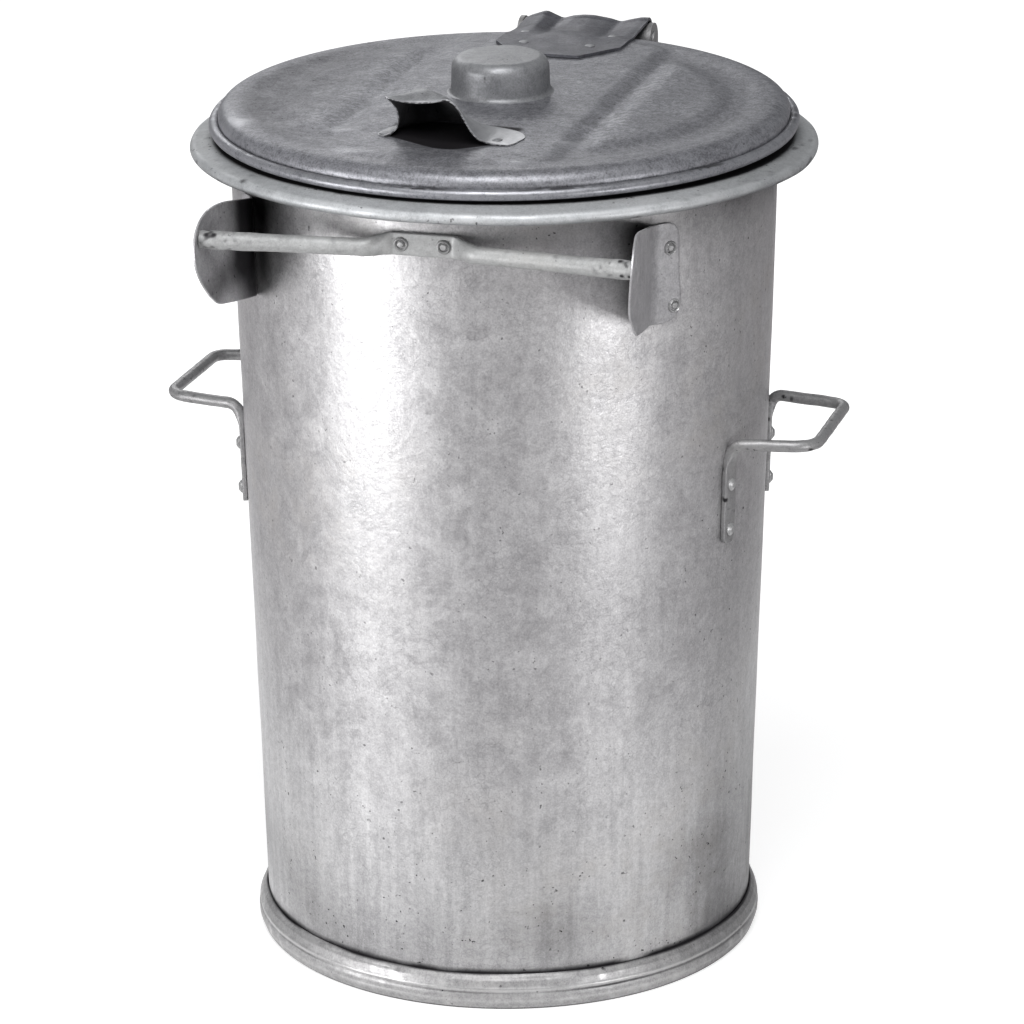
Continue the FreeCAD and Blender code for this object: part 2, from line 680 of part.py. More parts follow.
def make_bracket():
    """Curved web on the wall and two cheeks that reach out and up, around the rim, to the pin."""
    web_in = [f"({wall_radius(height)} + seat_gap)" for height in ("bracket_low", "bracket_high")]
    ring = turned("bracket_ring", [
        (web_in[0], "bracket_low"),
        (f"{web_in[0]} + bracket_sheet", "bracket_low"),
        (f"{web_in[1]} + bracket_sheet", "bracket_high"),
        (web_in[1], "bracket_high"),
    ])
    slab = doc.addObject("Part::Box", "bracket_slab")
    drive(slab, "Length", f"{CHEEK_OUT} * 2")
    drive(slab, "Width", "hinge_reach")
    drive(slab, "Height", "hinge_height")
    drive(slab, "Placement.Base.x", f"0 - {CHEEK_OUT}")
    web = boolean("Part::Common", "bracket_web", ring, slab)

    start = f"(sqrt({web_in[1]} ^ 2 - {CHEEK_IN} ^ 2) + seat_gap)"
    arm = "(hinge_reach - cheek_front)"
    arm_top = f"hinge_height - sqrt(cheek_radius ^ 2 - (hinge_reach - {arm}) ^ 2)"
    cheeks = padded("cheek_blank", "YZ_Plane", [
        (start, "bracket_low"),
        (f"{start} + cheek_foot", "bracket_low"),
        ("hinge_reach + cheek_radius", "cheek_knee"),
        ("hinge_reach + cheek_radius", "hinge_height", "cheek_radius"),
        ("hinge_reach", "hinge_height + cheek_radius", "cheek_radius"),
        ("hinge_reach - cheek_radius", "hinge_height", "cheek_radius"),
        (arm, arm_top),
        (arm, "bracket_high"),
        (start, "bracket_high"),
    ], f"{CHEEK_OUT} * 2")
    space = doc.addObject("Part::Box", "cheek_space")
    drive(space, "Length", f"{CHEEK_IN} * 2")
    drive(space, "Width", "hinge_reach * 2")
    drive(space, "Height", "hinge_height * 2")
    drive(space, "Placement.Base.x", f"0 - {CHEEK_IN}")
    pair = boolean("Part::Cut", "cheek_pair", cheeks, space)
    bored = boolean("Part::Cut", "cheek_pair_bored", pair,
                    across("cheek_bore", "pin_radius + running_gap", f"{CHEEK_OUT} + pin_head"))
    return fused("bracket_blank", [web, bored])


def across(name, radius, half):
    """A cylinder along the hinge's axis, half to each side."""
    item = doc.addObject("Part::Cylinder", name)
    drive(item, "Radius", radius)
    drive(item, "Height", f"({half}) * 2")
    item.Placement.Rotation = FreeCAD.Rotation(Vector(0, 1, 0), 90)
    drive(item, "Placement.Base.x", f"0 - ({half})")
    drive(item, "Placement.Base.y", "hinge_reach")
    drive(item, "Placement.Base.z", "hinge_height")
    return item


def bracket_rivet_places():
    """Rivets through the bracket's web, square to the wall."""
    stand = size("seat_gap * 2 + bracket_sheet")
    places = []
    for height in ("bracket_rivet_low", "bracket_rivet_high"):
        spread = azimuth_at(VALUES["bracket_rivet_half"], VALUES[height])
        for side in (-1, 1):
            places.append(wall_place(REAR + side * spread, VALUES[height], stand))
    return places


def make_pin():
    """Hinge pin with a peened head outside each cheek."""
    shaft = across("pin_shaft", "pin_radius", f"{CHEEK_OUT} + pin_head")
    heads = across("pin_heads", "pin_head_radius", f"{CHEEK_OUT} + pin_head")
    between = across("pin_between", "pin_head_radius * 2", CHEEK_OUT)
    return fused("hinge_pin", [shaft, boolean("Part::Cut", "pin_ends", heads, between)])


def make_sleeve():
    """Sleeve on the pin that fills the strap's wide barrel."""
    return boolean(
        "Part::Cut", "hinge_sleeve",
        across("sleeve_body", "barrel_radius - barrel_wall - running_gap", CHEEK_IN),
        across("sleeve_bore", "pin_radius + running_gap", CHEEK_OUT))


# ---------------------------------------------------------------- lid
# The lid's pieces are drawn level and then leaned together.

LID_FLAT = "(lid_height + lid_rise)"
CROWN_SLOPE = "((lid_crown_rise - lid_step_rise) / lid_step)"


def crown(radius):
    """Formula of the crown's height at a distance from the lid's axis."""
    return f"({LID_FLAT} + lid_crown_rise - {CROWN_SLOPE} * ({radius}))"


def make_lid_shell():
    """Crown, flat band, shoulder, short wall and an edge curled outwards round a wire."""
    inner_curl = "(lid_curl - lid_sheet)"
    wall = f"(lid_radius - {inner_curl})"
    curl_end = 118

    def on_curl(radius, angle):
        return f"lid_radius + {radius} * cos({angle})", f"lid_height + {radius} * sin({angle})"

    return turned("lid_blank", [
        (0, crown(0)),
        ("lid_step", f"{LID_FLAT} + lid_step_rise"),
        ("lid_band", LID_FLAT),
        (f"{wall} - lid_shoulder", LID_FLAT, "0 - lid_shoulder"),
        (wall, f"{LID_FLAT} - lid_shoulder"),
        (*on_curl(inner_curl, 180), inner_curl),
        (*on_curl(inner_curl, 270), inner_curl),
        (*on_curl(inner_curl, 0), inner_curl),
        on_curl(inner_curl, curl_end),
        (*on_curl("lid_curl", curl_end), "0 - lid_curl"),
        (*on_curl("lid_curl", 0), "0 - lid_curl"),
        (*on_curl("lid_curl", 270), "0 - lid_curl"),
        on_curl("lid_curl", 180),
        (f"{wall} - lid_sheet", f"{LID_FLAT} - lid_shoulder", "lid_shoulder - lid_sheet"),
        (f"{wall} - lid_shoulder", f"{LID_FLAT} - lid_sheet"),
        ("lid_band", f"{LID_FLAT} - lid_sheet"),
        ("lid_step", f"{LID_FLAT} + lid_step_rise - lid_sheet"),
        (0, f"{crown(0)} - lid_sheet"),
    ])


def make_knob():
    """Drawn cup with a small collar that sits on the crown's middle."""
    seat = f"({crown('knob_radius')} + seat_gap)"
    top = f"({seat} + knob_height)"
    root_out = "(knob_root + lid_sheet)"
    return turned("lid_knob", [
        (0, top),
        ("knob_radius - knob_round", top, "0 - knob_round"),
        ("knob_radius", f"{top} - knob_round"),
        ("knob_radius", f"{seat} + {root_out}", "knob_root"),
        ("knob_radius + knob_root", f"{seat} + lid_sheet"),
        ("knob_collar", f"{seat} + lid_sheet"),
        ("knob_collar", seat),
        ("knob_radius + knob_root", seat, f"0 - {root_out}"),
        ("knob_radius - lid_sheet", f"{seat} + {root_out}"),
        ("knob_radius - lid_sheet", f"{top} - knob_round", "knob_round - lid_sheet"),
        ("knob_radius - knob_round", f"{top} - lid_sheet"),
        (0, f"{top} - lid_sheet"),
    ])


def make_grip():
    """Pressed hood on two flat feet, open to the front and closing down towards the knob."""
    body = doc.addObject("PartDesign::Body", "grip_blank")
    stations = [
        ("grip_place + grip_lip", 1.0, 1.12, 1.04),
        ("grip_place - grip_lip", 1.0, 1.0, 0.95),
        ("grip_place - grip_depth * 0.6", 0.86, 0.88, 0.72),
        ("grip_place + grip_lip - grip_depth", 0.62, 0.6, 0.12),
    ]
    sections = []
    for number, (place, spread, width, rise) in enumerate(stations):
        sketch = sketch_on(body, "XZ_Plane", f"grip_section_{number}")
        drive(sketch, "AttachmentOffset.Base.z", place)
        base = f"({crown(place)} + seat_gap)"
        high = f"(grip_height * {rise})"
        low = f"({high} - lid_sheet)"
        foot = f"(grip_half_foot * {spread})"
        left = f"(grip_left * {width})"
        right = f"(grip_right * {width})"
        close_outline(sketch, [
            (f"0 - {foot}", f"{base} + lid_sheet"),
            (f"0 - {left}", f"{base} + lid_sheet"),
            (f"0 - {left}", f"{base} + {high} * 0.75"),
            (f"0 - {left} * 0.86", f"{base} + {high}"),
            (f"0 - {right} * 0.4", f"{base} + {high}"),
            (0, f"{base} + {high} * 0.8"),
            (right, f"{base} + lid_sheet"),
            (foot, f"{base} + lid_sheet"),
            (foot, base),
            (f"{right} - lid_sheet", base),
            ("0 - lid_sheet", f"{base} + {low} * 0.8"),
            (f"0 - {right} * 0.4", f"{base} + {low}"),
            (f"lid_sheet - {left} * 0.86", f"{base} + {low}"),
            (f"lid_sheet - {left}", f"{base} + {low} * 0.75"),
            (f"lid_sheet - {left}", base),
            (f"0 - {foot}", base),
        ])
        sections.append(sketch)
    hood = body.newObject("PartDesign::AdditiveLoft", "grip_hood")
    hood.Profile = sections[0]
    hood.Sections = sections[1:]
    hood.Ruled = True
    return body


def lid_rivet_places(spots):
    """Upright rivets with their heads on (x, y, height) spots."""
    return [FreeCAD.Placement(Vector(*(size(value) for value in spot)), FreeCAD.Rotation())
            for spot in spots]


def strap_under(distance):
    """Formula of the height of the strap's underside, which lies along the crown."""
    return f"({crown(distance)} + seat_gap)"


def make_strap():
    """Plate on the crown with cut corners, running over the shoulder into a rolled barrel."""
    drop = "(hinge_height - lid_height)"
    barrel_at = f"(hinge_reach * cos(lid_tilt) + {drop} * sin(lid_tilt))"
    barrel_height = f"(lid_height - hinge_reach * sin(lid_tilt) + {drop} * cos(lid_tilt))"
    inner = "(barrel_radius - barrel_wall)"
    edge = "(lid_radius - lid_curl - lid_shoulder)"
    side = padded("strap_side", "YZ_Plane", [
        ("strap_front", strap_under("strap_front")),
        (edge, strap_under(edge)),
        (barrel_at, f"{barrel_height} + {inner}"),
        (barrel_at, f"{barrel_height} + barrel_radius"),
        (edge, f"{strap_under(edge)} + strap_sheet"),
        ("strap_front", f"{strap_under('strap_front')} + strap_sheet"),
    ], "strap_half * 2")
    for name, kind, radius in (("roll", "PartDesign::Pad", "barrel_radius"),
                               ("bore", "PartDesign::Pocket", inner)):
        sketch = sketch_on(side, "YZ_Plane", f"strap_{name}_circle")
        middle = Vector(size(barrel_at), size(barrel_height), 0)
        sketch.addGeometry(Part.Circle(middle, UP, size(radius)))
        for kind_of, value, formula in (("DistanceX", middle.x, barrel_at),
                                        ("DistanceY", middle.y, barrel_height)):
            number = sketch.addConstraint(Sketcher.Constraint(kind_of, 0, 3, value))
            drive(sketch, f"Constraints[{number}]", formula)
        number = sketch.addConstraint(Sketcher.Constraint("Radius", 0, size(radius)))
        drive(sketch, f"Constraints[{number}]", radius)
        feature = side.newObject(kind, f"strap_{name}")
        feature.Profile = sketch
        feature.SideType = "Symmetric"
        drive(feature, "Length", "strap_half * 2")
    plan = padded("strap_plan", "XY_Plane", [
        ("strap_half - strap_corner", "strap_front"),
        ("strap_half", "strap_front + strap_corner_run"),
        ("strap_half", "hinge_reach + barrel_radius * 2"),
        ("0 - strap_half", "hinge_reach + barrel_radius * 2"),
        ("0 - strap_half", "strap_front + strap_corner_run"),
        ("strap_corner - strap_half", "strap_front"),
    ], "hinge_height * 2.2")
    return boolean("Part::Common", "strap_blank", side, plan)


# ---------------------------------------------------------------- assembly

WALL_STACK = "wall_sheet + seat_gap * 3"
SAG = "(rod_rivet_half + rivet_head) ^ 2 / wall_base / 2"

rod_rivets, rod_holes = riveting(
    "tipping_rod_rivets", f"rod_flat + {WALL_STACK} + {SAG}", rod_rivet_places())
ear_rivets, ear_holes = riveting(
    "ear_rivets_right", f"ear_sheet + {WALL_STACK}", ear_rivet_places())
handle_rivets, handle_holes = riveting(
    "handle_rivets_right", f"leg_thick + {WALL_STACK}", handle_rivet_places())
bracket_rivets, bracket_holes = riveting(
    "hinge_bracket_rivets", f"bracket_sheet + {WALL_STACK}", bracket_rivet_places())

wall_holes = doc.addObject("Part::Compound", "wall_holes")
wall_holes.Links = [
    rod_holes, bracket_holes,
    ear_holes, mirrored("ear_holes_left", ear_holes),
    handle_holes, mirrored("handle_holes_left", handle_holes),
]
body_shell = boolean("Part::Cut", "body_shell", make_wall(), wall_holes)
foot_ring = make_foot_ring()
bottom_pan = make_pan()
rim_collar = make_rim_collar()
rim_wire = make_ring_wire(
    "rim_wire", "rim_radius", "rim_roll - rim_sheet - wire_gap", "rim_height")

end_point = rod_end()
ear_passage = bar_between(
    "ear_passage", end_point - SIDE * VALUES["ear_reach"] / 4,
    end_point + SIDE * VALUES["ear_reach"] / 4, "rod_radius + seat_gap")
rod_blank = make_rod()
ear_drills = doc.addObject("Part::Compound", "ear_drills")
ear_drills.Links = [ear_holes, ear_passage]
ear_right = boolean("Part::Cut", "ear_right", make_ear(), ear_drills)
ear_left = mirrored("ear_left", ear_right)
ear_rivets_left = mirrored("ear_rivets_left", ear_rivets)
tipping_rod = boolean("Part::Cut", "tipping_rod", rod_blank, rod_holes)

handle_blank = fused("handle_blank", [
    make_handle_bar(), make_leg("leg_front", -1), make_leg("leg_rear", 1)])
handle_right = boolean("Part::Cut", "handle_right", handle_blank, handle_holes)
handle_left = mirrored("handle_left", handle_right)
handle_rivets_left = mirrored("handle_rivets_left", handle_rivets)

hinge_bracket = boolean("Part::Cut", "hinge_bracket", make_bracket(), bracket_holes)
hinge_pin = make_pin()
hinge_sleeve = make_sleeve()

grip_rivets, grip_holes = riveting(
    "grip_rivets", "lid_sheet * 2 + seat_gap * 4", lid_rivet_places([
        (x, "0 - grip_rivet_place", f"{crown('grip_rivet_place')} + seat_gap * 1.5 + lid_sheet")
        for x in ("grip_rivet_right", "0 - grip_rivet_left")]))
strap_rivets, strap_holes = riveting(
    "hinge_strap_rivets", "strap_sheet + lid_sheet + lid_step_rise", lid_rivet_places([
        (f"{side}strap_rivet_{row}_half", f"strap_rivet_{row}",
         f"{strap_under(f'strap_rivet_{row}')} + strap_sheet + seat_gap / 3")
        for side in ("", "0 - ") for row in ("front", "rear")]))
lid_holes = doc.addObject("Part::Compound", "lid_holes")
lid_holes.Links = [grip_holes, strap_holes]
lid_shell = boolean("Part::Cut", "lid_shell", make_lid_shell(), lid_holes)
lid_wire = make_ring_wire(
    "lid_wire", "lid_radius", "lid_curl - lid_sheet - wire_gap", "lid_height")
lid_knob = make_knob()
lid_grip = boolean("Part::Cut", "lid_grip", make_grip(), grip_holes)
hinge_strap = boolean("Part::Cut", "hinge_strap", make_strap(), strap_holes)
LID = [lid_shell, lid_wire, lid_knob, lid_grip, grip_rivets, hinge_strap, strap_rivets]
for piece in LID:
    lean(piece)

BIN = [
    body_shell, foot_ring, bottom_pan, rim_collar, rim_wire,
    tipping_rod, rod_rivets, ear_right, ear_left, ear_rivets, ear_rivets_left,
    handle_right, handle_left, handle_rivets, handle_rivets_left,
    hinge_bracket, bracket_rivets, hinge_pin, hinge_sleeve,
]

doc.recompute()
for item in doc.Objects:
    assert not {"Invalid", "Error"} & set(item.State), (item.Name, item.State)
os.makedirs("parts", exist_ok=True)
for piece in BIN + LID:
    shape = piece.Shape
    assert not shape.isNull() and shape.isValid(), piece.Name
    assert shape.Solids, piece.Name
    box = shape.optimalBoundingBox()
    print(f"{piece.Label:22s} solids {len(shape.Solids):2d}  volume {shape.Volume:10.1f}  "
          f"X {box.XMin:7.1f} {box.XMax:7.1f}  Y {box.YMin:7.1f} {box.YMax:7.1f}  "
          f"Z {box.ZMin:6.1f} {box.ZMax:6.1f}")
    shape.exportStep(f"parts/{piece.Label}.step")
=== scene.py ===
"""Galvanized refuse bin with a hinged lid: pressed sheet forms, zinc finishes, studio and camera.

Lengths in the dataclass fields are millimetres, in the bin's own frame: +Z up, the front towards
-Y, the origin on the floor under the middle of the body. Meshes are written in metres.
"""

import logging
import math
from dataclasses import dataclass, field
from enum import Enum

import bmesh
import bpy
import numpy as np
from mathutils import Matrix, Vector


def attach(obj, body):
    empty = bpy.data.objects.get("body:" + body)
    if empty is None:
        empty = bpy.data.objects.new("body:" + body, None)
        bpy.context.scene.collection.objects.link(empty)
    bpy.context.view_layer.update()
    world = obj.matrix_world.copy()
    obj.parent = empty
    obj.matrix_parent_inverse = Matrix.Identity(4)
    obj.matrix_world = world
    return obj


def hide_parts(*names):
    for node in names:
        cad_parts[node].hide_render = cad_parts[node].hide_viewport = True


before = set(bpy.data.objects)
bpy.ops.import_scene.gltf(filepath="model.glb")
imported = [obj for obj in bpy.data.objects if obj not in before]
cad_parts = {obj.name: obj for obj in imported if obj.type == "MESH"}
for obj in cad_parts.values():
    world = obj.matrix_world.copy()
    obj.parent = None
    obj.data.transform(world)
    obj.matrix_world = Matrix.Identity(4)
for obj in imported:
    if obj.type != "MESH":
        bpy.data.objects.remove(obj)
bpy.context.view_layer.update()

MM = 0.001
FULL = 2 * math.pi
LOG = logging.getLogger("bin")


class Part(Enum):
    """The bodies that pieces ride on."""

    BIN = "bin"
    LID = "lid"


# ------------------------------------------------------------------ shapes from arrays


def smooth(low: float, high: float, value: np.ndarray) -> np.ndarray:
    """Smooth step: 0 below low, 1 above high, and 3t^2 - 2t^3 between them.

    Args:
        low: where the step starts; it may be above high for a falling step.
        high: where the step ends.
        value: the numbers to step.

    Returns:
        The stepped numbers.
    """
    t = np.clip((value - low) / (high - low), 0, 1)
    return t * t * (3 - 2 * t)


def hill(value: np.ndarray, width: float) -> np.ndarray:
    """A bell exp(-(value / width)^2)."""
    return np.exp(-((value / width) ** 2))


def swell(points: np.ndarray, length: float, seed: int) -> np.ndarray:
    """Smooth irregular field: the sum of 20 plane waves sin(k.p + phase) with random k and phase.

    Args:
        points: positions, (..., 3), in mm.
        length: typical wavelength in mm.
        seed: which of the fields.

    Returns:
        Values of about -1 to 1, of the points' leading shape.
    """
    source = np.random.default_rng(seed)
    waves = source.normal(size=(20, 3))
    waves *= (source.uniform(0.6, 1.5, 20) / np.linalg.norm(waves, axis=1))[:, None]
    phases = source.uniform(0, FULL, 20)
    return np.sin(points @ (waves.T * FULL / length) + phases).sum(axis=-1) / 6.5


def patches(points: np.ndarray, length: float, seed: int, level: float = 0.0) -> np.ndarray:
    """The parts of a swell that stand over a level, from 0 to 1."""
    return np.clip(swell(points, length, seed) - level, 0, 1)


def line(start: tuple[float, float], end: tuple[float, float], count: int) -> np.ndarray:
    """count points evenly from start up to, but without, end."""
    t = np.linspace(0, 1, count, endpoint=False)[:, None]
    return np.asarray(start) * (1 - t) + np.asarray(end) * t


def chain(corners: list[tuple[float, float, int]]) -> np.ndarray:
    """Straight runs: each corner (r, z, count) puts count points on the run to the next one."""
    return np.vstack([line(a[:2], b[:2], a[2]) for a, b in zip(corners, corners[1:])])


def arc(centre: tuple[float, float], radius: float, first: float, last: float,
        count: int) -> np.ndarray:
    """count points centre + radius (cos a, sin a), for a from first to just before last degrees."""
    a = np.radians(np.linspace(first, last, count, endpoint=False))
    return np.stack([centre[0] + radius * np.cos(a), centre[1] + radius * np.sin(a)], axis=1)


def turned(section: np.ndarray, count: int) -> np.ndarray:
    """Points (r sin a, -r cos a, z) for each section point (r, z) and azimuth a from the front.

    Args:
        section: (rows, 2) radii and heights.
        count: number of azimuths round the full turn.

    Returns:
        A grid (rows, count, 3).
    """
    a = np.arange(count) * FULL / count
    radius, height = section[:, :1], section[:, 1:]
    return np.stack([radius * np.sin(a), -radius * np.cos(a), height + 0 * a], axis=-1)


def outward(grid: np.ndarray) -> np.ndarray:
    """Unit vectors away from the vertical axis at each point of a grid."""
    flat = grid * [1, 1, 0]
    return flat / np.maximum(np.linalg.norm(flat, axis=-1, keepdims=True), 1e-9)


def azimuth(grid: np.ndarray) -> np.ndarray:
    """Azimuth from the front of each point, in degrees, positive towards +X."""
    return np.degrees(np.arctan2(grid[..., 0], -grid[..., 1]))


def through(points: list[tuple[float, ...]], count: int, closed: bool = False,
            soft: int = 3) -> np.ndarray:
    """Even samples along a line of points, rounded by averaging each sample with its neighbours.

    Args:
        points: corner points, of any dimension.
        count: number of samples.
        closed: whether the line runs back to its start.
        soft: how many times the samples are averaged.

    Returns:
        (count, dimension) points.
    """
    corners = np.asarray(points + points[:1] if closed else points, dtype=float)
    run = np.concatenate([[0], np.cumsum(np.linalg.norm(np.diff(corners, axis=0), axis=1))])
    even = np.linspace(0, run[-1], count, endpoint=not closed)
    line_ = np.stack([np.interp(even, run, column) for column in corners.T], axis=1)
    for _ in range(soft):
        mean = (np.roll(line_, 1, axis=0) + 2 * line_ + np.roll(line_, -1, axis=0)) / 4
        if not closed:
            mean[[0, -1]] = line_[[0, -1]]
        line_ = mean
    return line_


def woven(stations: np.ndarray, rows: int) -> np.ndarray:
    """A smooth sheet through station curves, by the cubic that passes through each of them.

    Between two stations the curve is the Catmull-Rom cubic of the two and their neighbours.

    Args:
        stations: (n, count, 3) curves.
        rows: number of rows in the result.

    Returns:
        (rows, count, 3) points.
    """
    ends = np.concatenate([2 * stations[:1] - stations[1:2], stations,
                           2 * stations[-1:] - stations[-2:-1]])
    place = np.linspace(0, len(stations) - 1, rows)
    index = np.minimum(place.astype(int), len(stations) - 2)
    t = (place - index)[:, None, None]
    a, b, c, d = (ends[index + k] for k in range(4))
    return b + 0.5 * t * (c - a + t * (2 * a - 5 * b + 4 * c - d + t * (3 * (b - c) + d - a)))


def swept(path: np.ndarray, section: np.ndarray, up: np.ndarray) -> np.ndarray:
    """Sections carried along a path: path + u n + v b, with b square to the path and nearest to up.

    Args:
        path: (rows, 3) points of the middle line.
        section: (rows, count, 2) offsets (u, v) at each point.
        up: (3,) or (rows, 3) direction that v follows.

    Returns:
        A grid (rows, count, 3).
    """
    along = np.gradient(path, axis=0)
    along /= np.linalg.norm(along, axis=1, keepdims=True)
    side = np.cross(along, np.broadcast_to(up, path.shape))
    side /= np.linalg.norm(side, axis=1, keepdims=True)
    rise = np.cross(side, along)
    return (path[:, None] + section[..., :1] * side[:, None] + section[..., 1:] * rise[:, None])


def rounded(half_u: np.ndarray, half_v: np.ndarray, power: np.ndarray, count: int) -> np.ndarray:
    """Superellipse sections u = a sgn(cos t) |cos t|^(2/p), v = b sgn(sin t) |sin t|^(2/p).

    Args:
        half_u: (rows,) half widths.
        half_v: (rows,) half heights.
        power: (rows,) 2 for an ellipse, more for a flatter bar.
        count: points round each section.

    Returns:
        A grid (rows, count, 2).
    """
    t = (np.arange(count) + 0.5) * FULL / count
    shape = 2 / np.asarray(power)[:, None]
    u = np.sign(np.cos(t)) * np.abs(np.cos(t)) ** shape * np.asarray(half_u)[:, None]
    v = np.sign(np.sin(t)) * np.abs(np.sin(t)) ** shape * np.asarray(half_v)[:, None]
    return np.stack([u, v], axis=-1)


def lumpy(grid: np.ndarray, path: np.ndarray, lump: np.ndarray) -> np.ndarray:
    """Sections made larger about their path's points by the share lump at each point."""
    return path[:, None] + (grid - path[:, None]) * (1 + lump[..., None])


def bent(corners: np.ndarray, radii: list[float], step: float) -> tuple[np.ndarray, np.ndarray]:
    """A path of straight runs with a round bend at each inner corner.

    Each bend is the arc that touches both runs, at a distance radius / tan(half the corner's angle)
    from the corner. The path is then sampled evenly.

    Args:
        corners: (n, 3) corner points.
        radii: n - 2 bend radii.
        step: distance between samples.

    Returns:
        The points, (rows, 3), and their distance along the path, (rows,).
    """
    pieces = [corners[0]]
    for before, corner, after, radius in zip(corners, corners[1:], corners[2:], radii):
        back = (before - corner) / np.linalg.norm(before - corner)
        ahead = (after - corner) / np.linalg.norm(after - corner)
        half = np.arccos(np.clip(back @ ahead, -1, 1)) / 2
        middle = corner + (back + ahead) / np.linalg.norm(back + ahead) * radius / np.sin(half)
        start = corner + back * radius / np.tan(half)
        end = corner + ahead * radius / np.tan(half)
        t = np.linspace(0, 1, 13)[:, None]
        angle = np.pi - 2 * half
        spoke = (np.sin((1 - t) * angle) * (start - middle) + np.sin(t * angle) * (end - middle))
        pieces.append(middle + spoke / np.sin(angle))
    pieces.append(corners[-1])
    points = np.vstack(pieces)
    run = np.concatenate([[0], np.cumsum(np.linalg.norm(np.diff(points, axis=0), axis=1))])
    even = np.linspace(0, run[-1], int(run[-1] / step) + 1)
    return np.stack([np.interp(even, run, points[:, i]) for i in range(3)], axis=1), even


@dataclass
class Surface:
    """A grid of points that becomes a mesh of quads.

    Each row closes on itself, the last row may join the first, and an open end may be closed by
    a fan. The marks hold one value for each point, for the shaders.
    """

    name: str
    grid: np.ndarray
    close_rows: bool = False
    caps: tuple[bool, bool] = (False, False)
    marks: dict[str, np.ndarray] = field(default_factory=dict)

    def faces(self) -> np.ndarray:
        """Indices of the quads between each row and the next, all the way round."""
        rows, columns = self.grid.shape[:2]
        r = np.arange(rows if self.close_rows else rows - 1)[:, None]
        left = np.arange(columns)[None]
        low, high, right = r * columns, (r + 1) % rows * columns, (left + 1) % columns
        corners = [low + left, low + right, high + right, high + left]
        return np.stack(corners, axis=-1).reshape(-1, 4)

    def doubled(self, sheet: float, inside: float = 0.0) -> "Surface":
        """The same surface with a second skin behind it, joined round its edge.

        The second skin is each point less sheet times the unit normal, from the cross product of
        the differences along rows and columns. Rows and columns of the result run through both.

        Args:
            sheet: thickness in mm; a negative one puts the second skin in front.
            inside: least value of the dark mark on the second skin, which paints shade on it.

        Returns:
            A closed surface whose columns run over the front and back over the rear.
        """
        down, across = np.gradient(self.grid, axis=0), np.gradient(self.grid, axis=1)
        normal = np.cross(down, across)
        normal /= np.maximum(np.linalg.norm(normal, axis=-1, keepdims=True), 1e-9)
        rear = (self.grid - sheet * normal)[:, ::-1]
        front = self.grid
        first = (front[:1] + rear[:1, ::-1]) / 2
        last = (front[-1:] + rear[-1:, ::-1]) / 2
        skin = np.concatenate([
            np.concatenate([first, first[:, ::-1]], axis=1),
            np.concatenate([front, rear], axis=1),
            np.concatenate([last, last[:, ::-1]], axis=1)])
        marks = {}
        for name, values in self.marks.items():
            floor = inside if name == "grime_and_shade" else -1.0
            both = np.concatenate([values, np.maximum(values, floor)[:, ::-1]], axis=1)
            marks[name] = np.concatenate([both[:1], both, both[-1:]])
        return Surface(self.name, skin, marks=marks)

    def build(self) -> bpy.types.Object:
        """Make the mesh object, with outward faces, smooth shading and the marks as attributes.

        Returns:
            The new object, at the origin.
        """
        rows, columns = self.grid.shape[:2]
        points = self.grid.reshape(-1, 3)
        faces = self.faces().tolist()
        extra = []
        for wanted, row, order in zip(self.caps, (0, rows - 1), (1, -1)):
            if wanted:
                centre = rows * columns + len(extra)
                ring = row * columns + np.arange(columns)[::order]
                extra.append(points[ring].mean(axis=0))
                faces += [[centre, int(b), int(a)] for a, b in zip(ring, np.roll(ring, -1))]
        if extra:
            points = np.vstack([points, extra])
        mesh = bpy.data.meshes.new(self.name)
        mesh.from_pydata((points * MM).tolist(), [], faces)
        for name, values in self.marks.items():
            flat = np.full(len(points), float(np.mean(values)), dtype=np.float32)
            flat[: rows * columns] = np.clip(values, 0, 1).ravel()
            mesh.attributes.new(name, "FLOAT", "POINT").data.foreach_set("value", flat)
        tidy = bmesh.new()
        tidy.from_mesh(mesh)
        bmesh.ops.remove_doubles(tidy, verts=tidy.verts, dist=1e-6)
        bmesh.ops.recalc_face_normals(tidy, faces=tidy.faces)
        tidy.to_mesh(mesh)
        tidy.free()
        mesh.shade_smooth()
        mesh.set_sharp_from_angle(angle=math.radians(50))
        item = bpy.data.objects.new(self.name, mesh)
        bpy.context.scene.collection.objects.link(item)
        return item


def joined(name: str, pieces: list[bpy.types.Object]) -> bpy.types.Object:
    """One object made of several.

    Args:
        name: the name of the result.
        pieces: objects at the origin.

    Returns:
        The first object, which now holds them all.
    """
    with bpy.context.temp_override(active_object=pieces[0], object=pieces[0],
                                   selected_objects=pieces, selected_editable_objects=pieces):
        bpy.ops.object.join()
    pieces[0].name = name
    pieces[0].data.name = name
    return pieces[0]


# ------------------------------------------------------------------ shader graphs


@dataclass(frozen=True)
class Signal:
    """A socket whose value can be used in ordinary arithmetic, which adds Math nodes."""

    board: "Board"
    socket: bpy.types.NodeSocket

    def math(self, operation: str, first: object, second: object = 0.0) -> "Signal":
        """The result of one Math node."""
        return self.board.node("ShaderNodeMath", {"operation": operation}, {0: first, 1: second})

    def __add__(self, other: object) -> "Signal":
        """Sum."""
        return self.math("ADD", self, other)

    __radd__ = __add__

    def __sub__(self, other: object) -> "Signal":
        """Difference."""
        return self.math("SUBTRACT", self, other)

    def __rsub__(self, other: object) -> "Signal":
        """Difference from another value."""
        return self.math("SUBTRACT", other, self)

    def __mul__(self, other: object) -> "Signal":
        """Product."""
        return self.math("MULTIPLY", self, other)

    def __pow__(self, other: float) -> "Signal":
        """Power."""
        return self.math("POWER", self, other)

    def step(self, low: float, high: float) -> "Signal":
        """Smooth step from 0 at low to 1 at high."""
        return self.board.node("ShaderNodeMapRange", {"interpolation_type": "SMOOTHSTEP"},
                               {"Value": self, "From Min": low, "From Max": high})


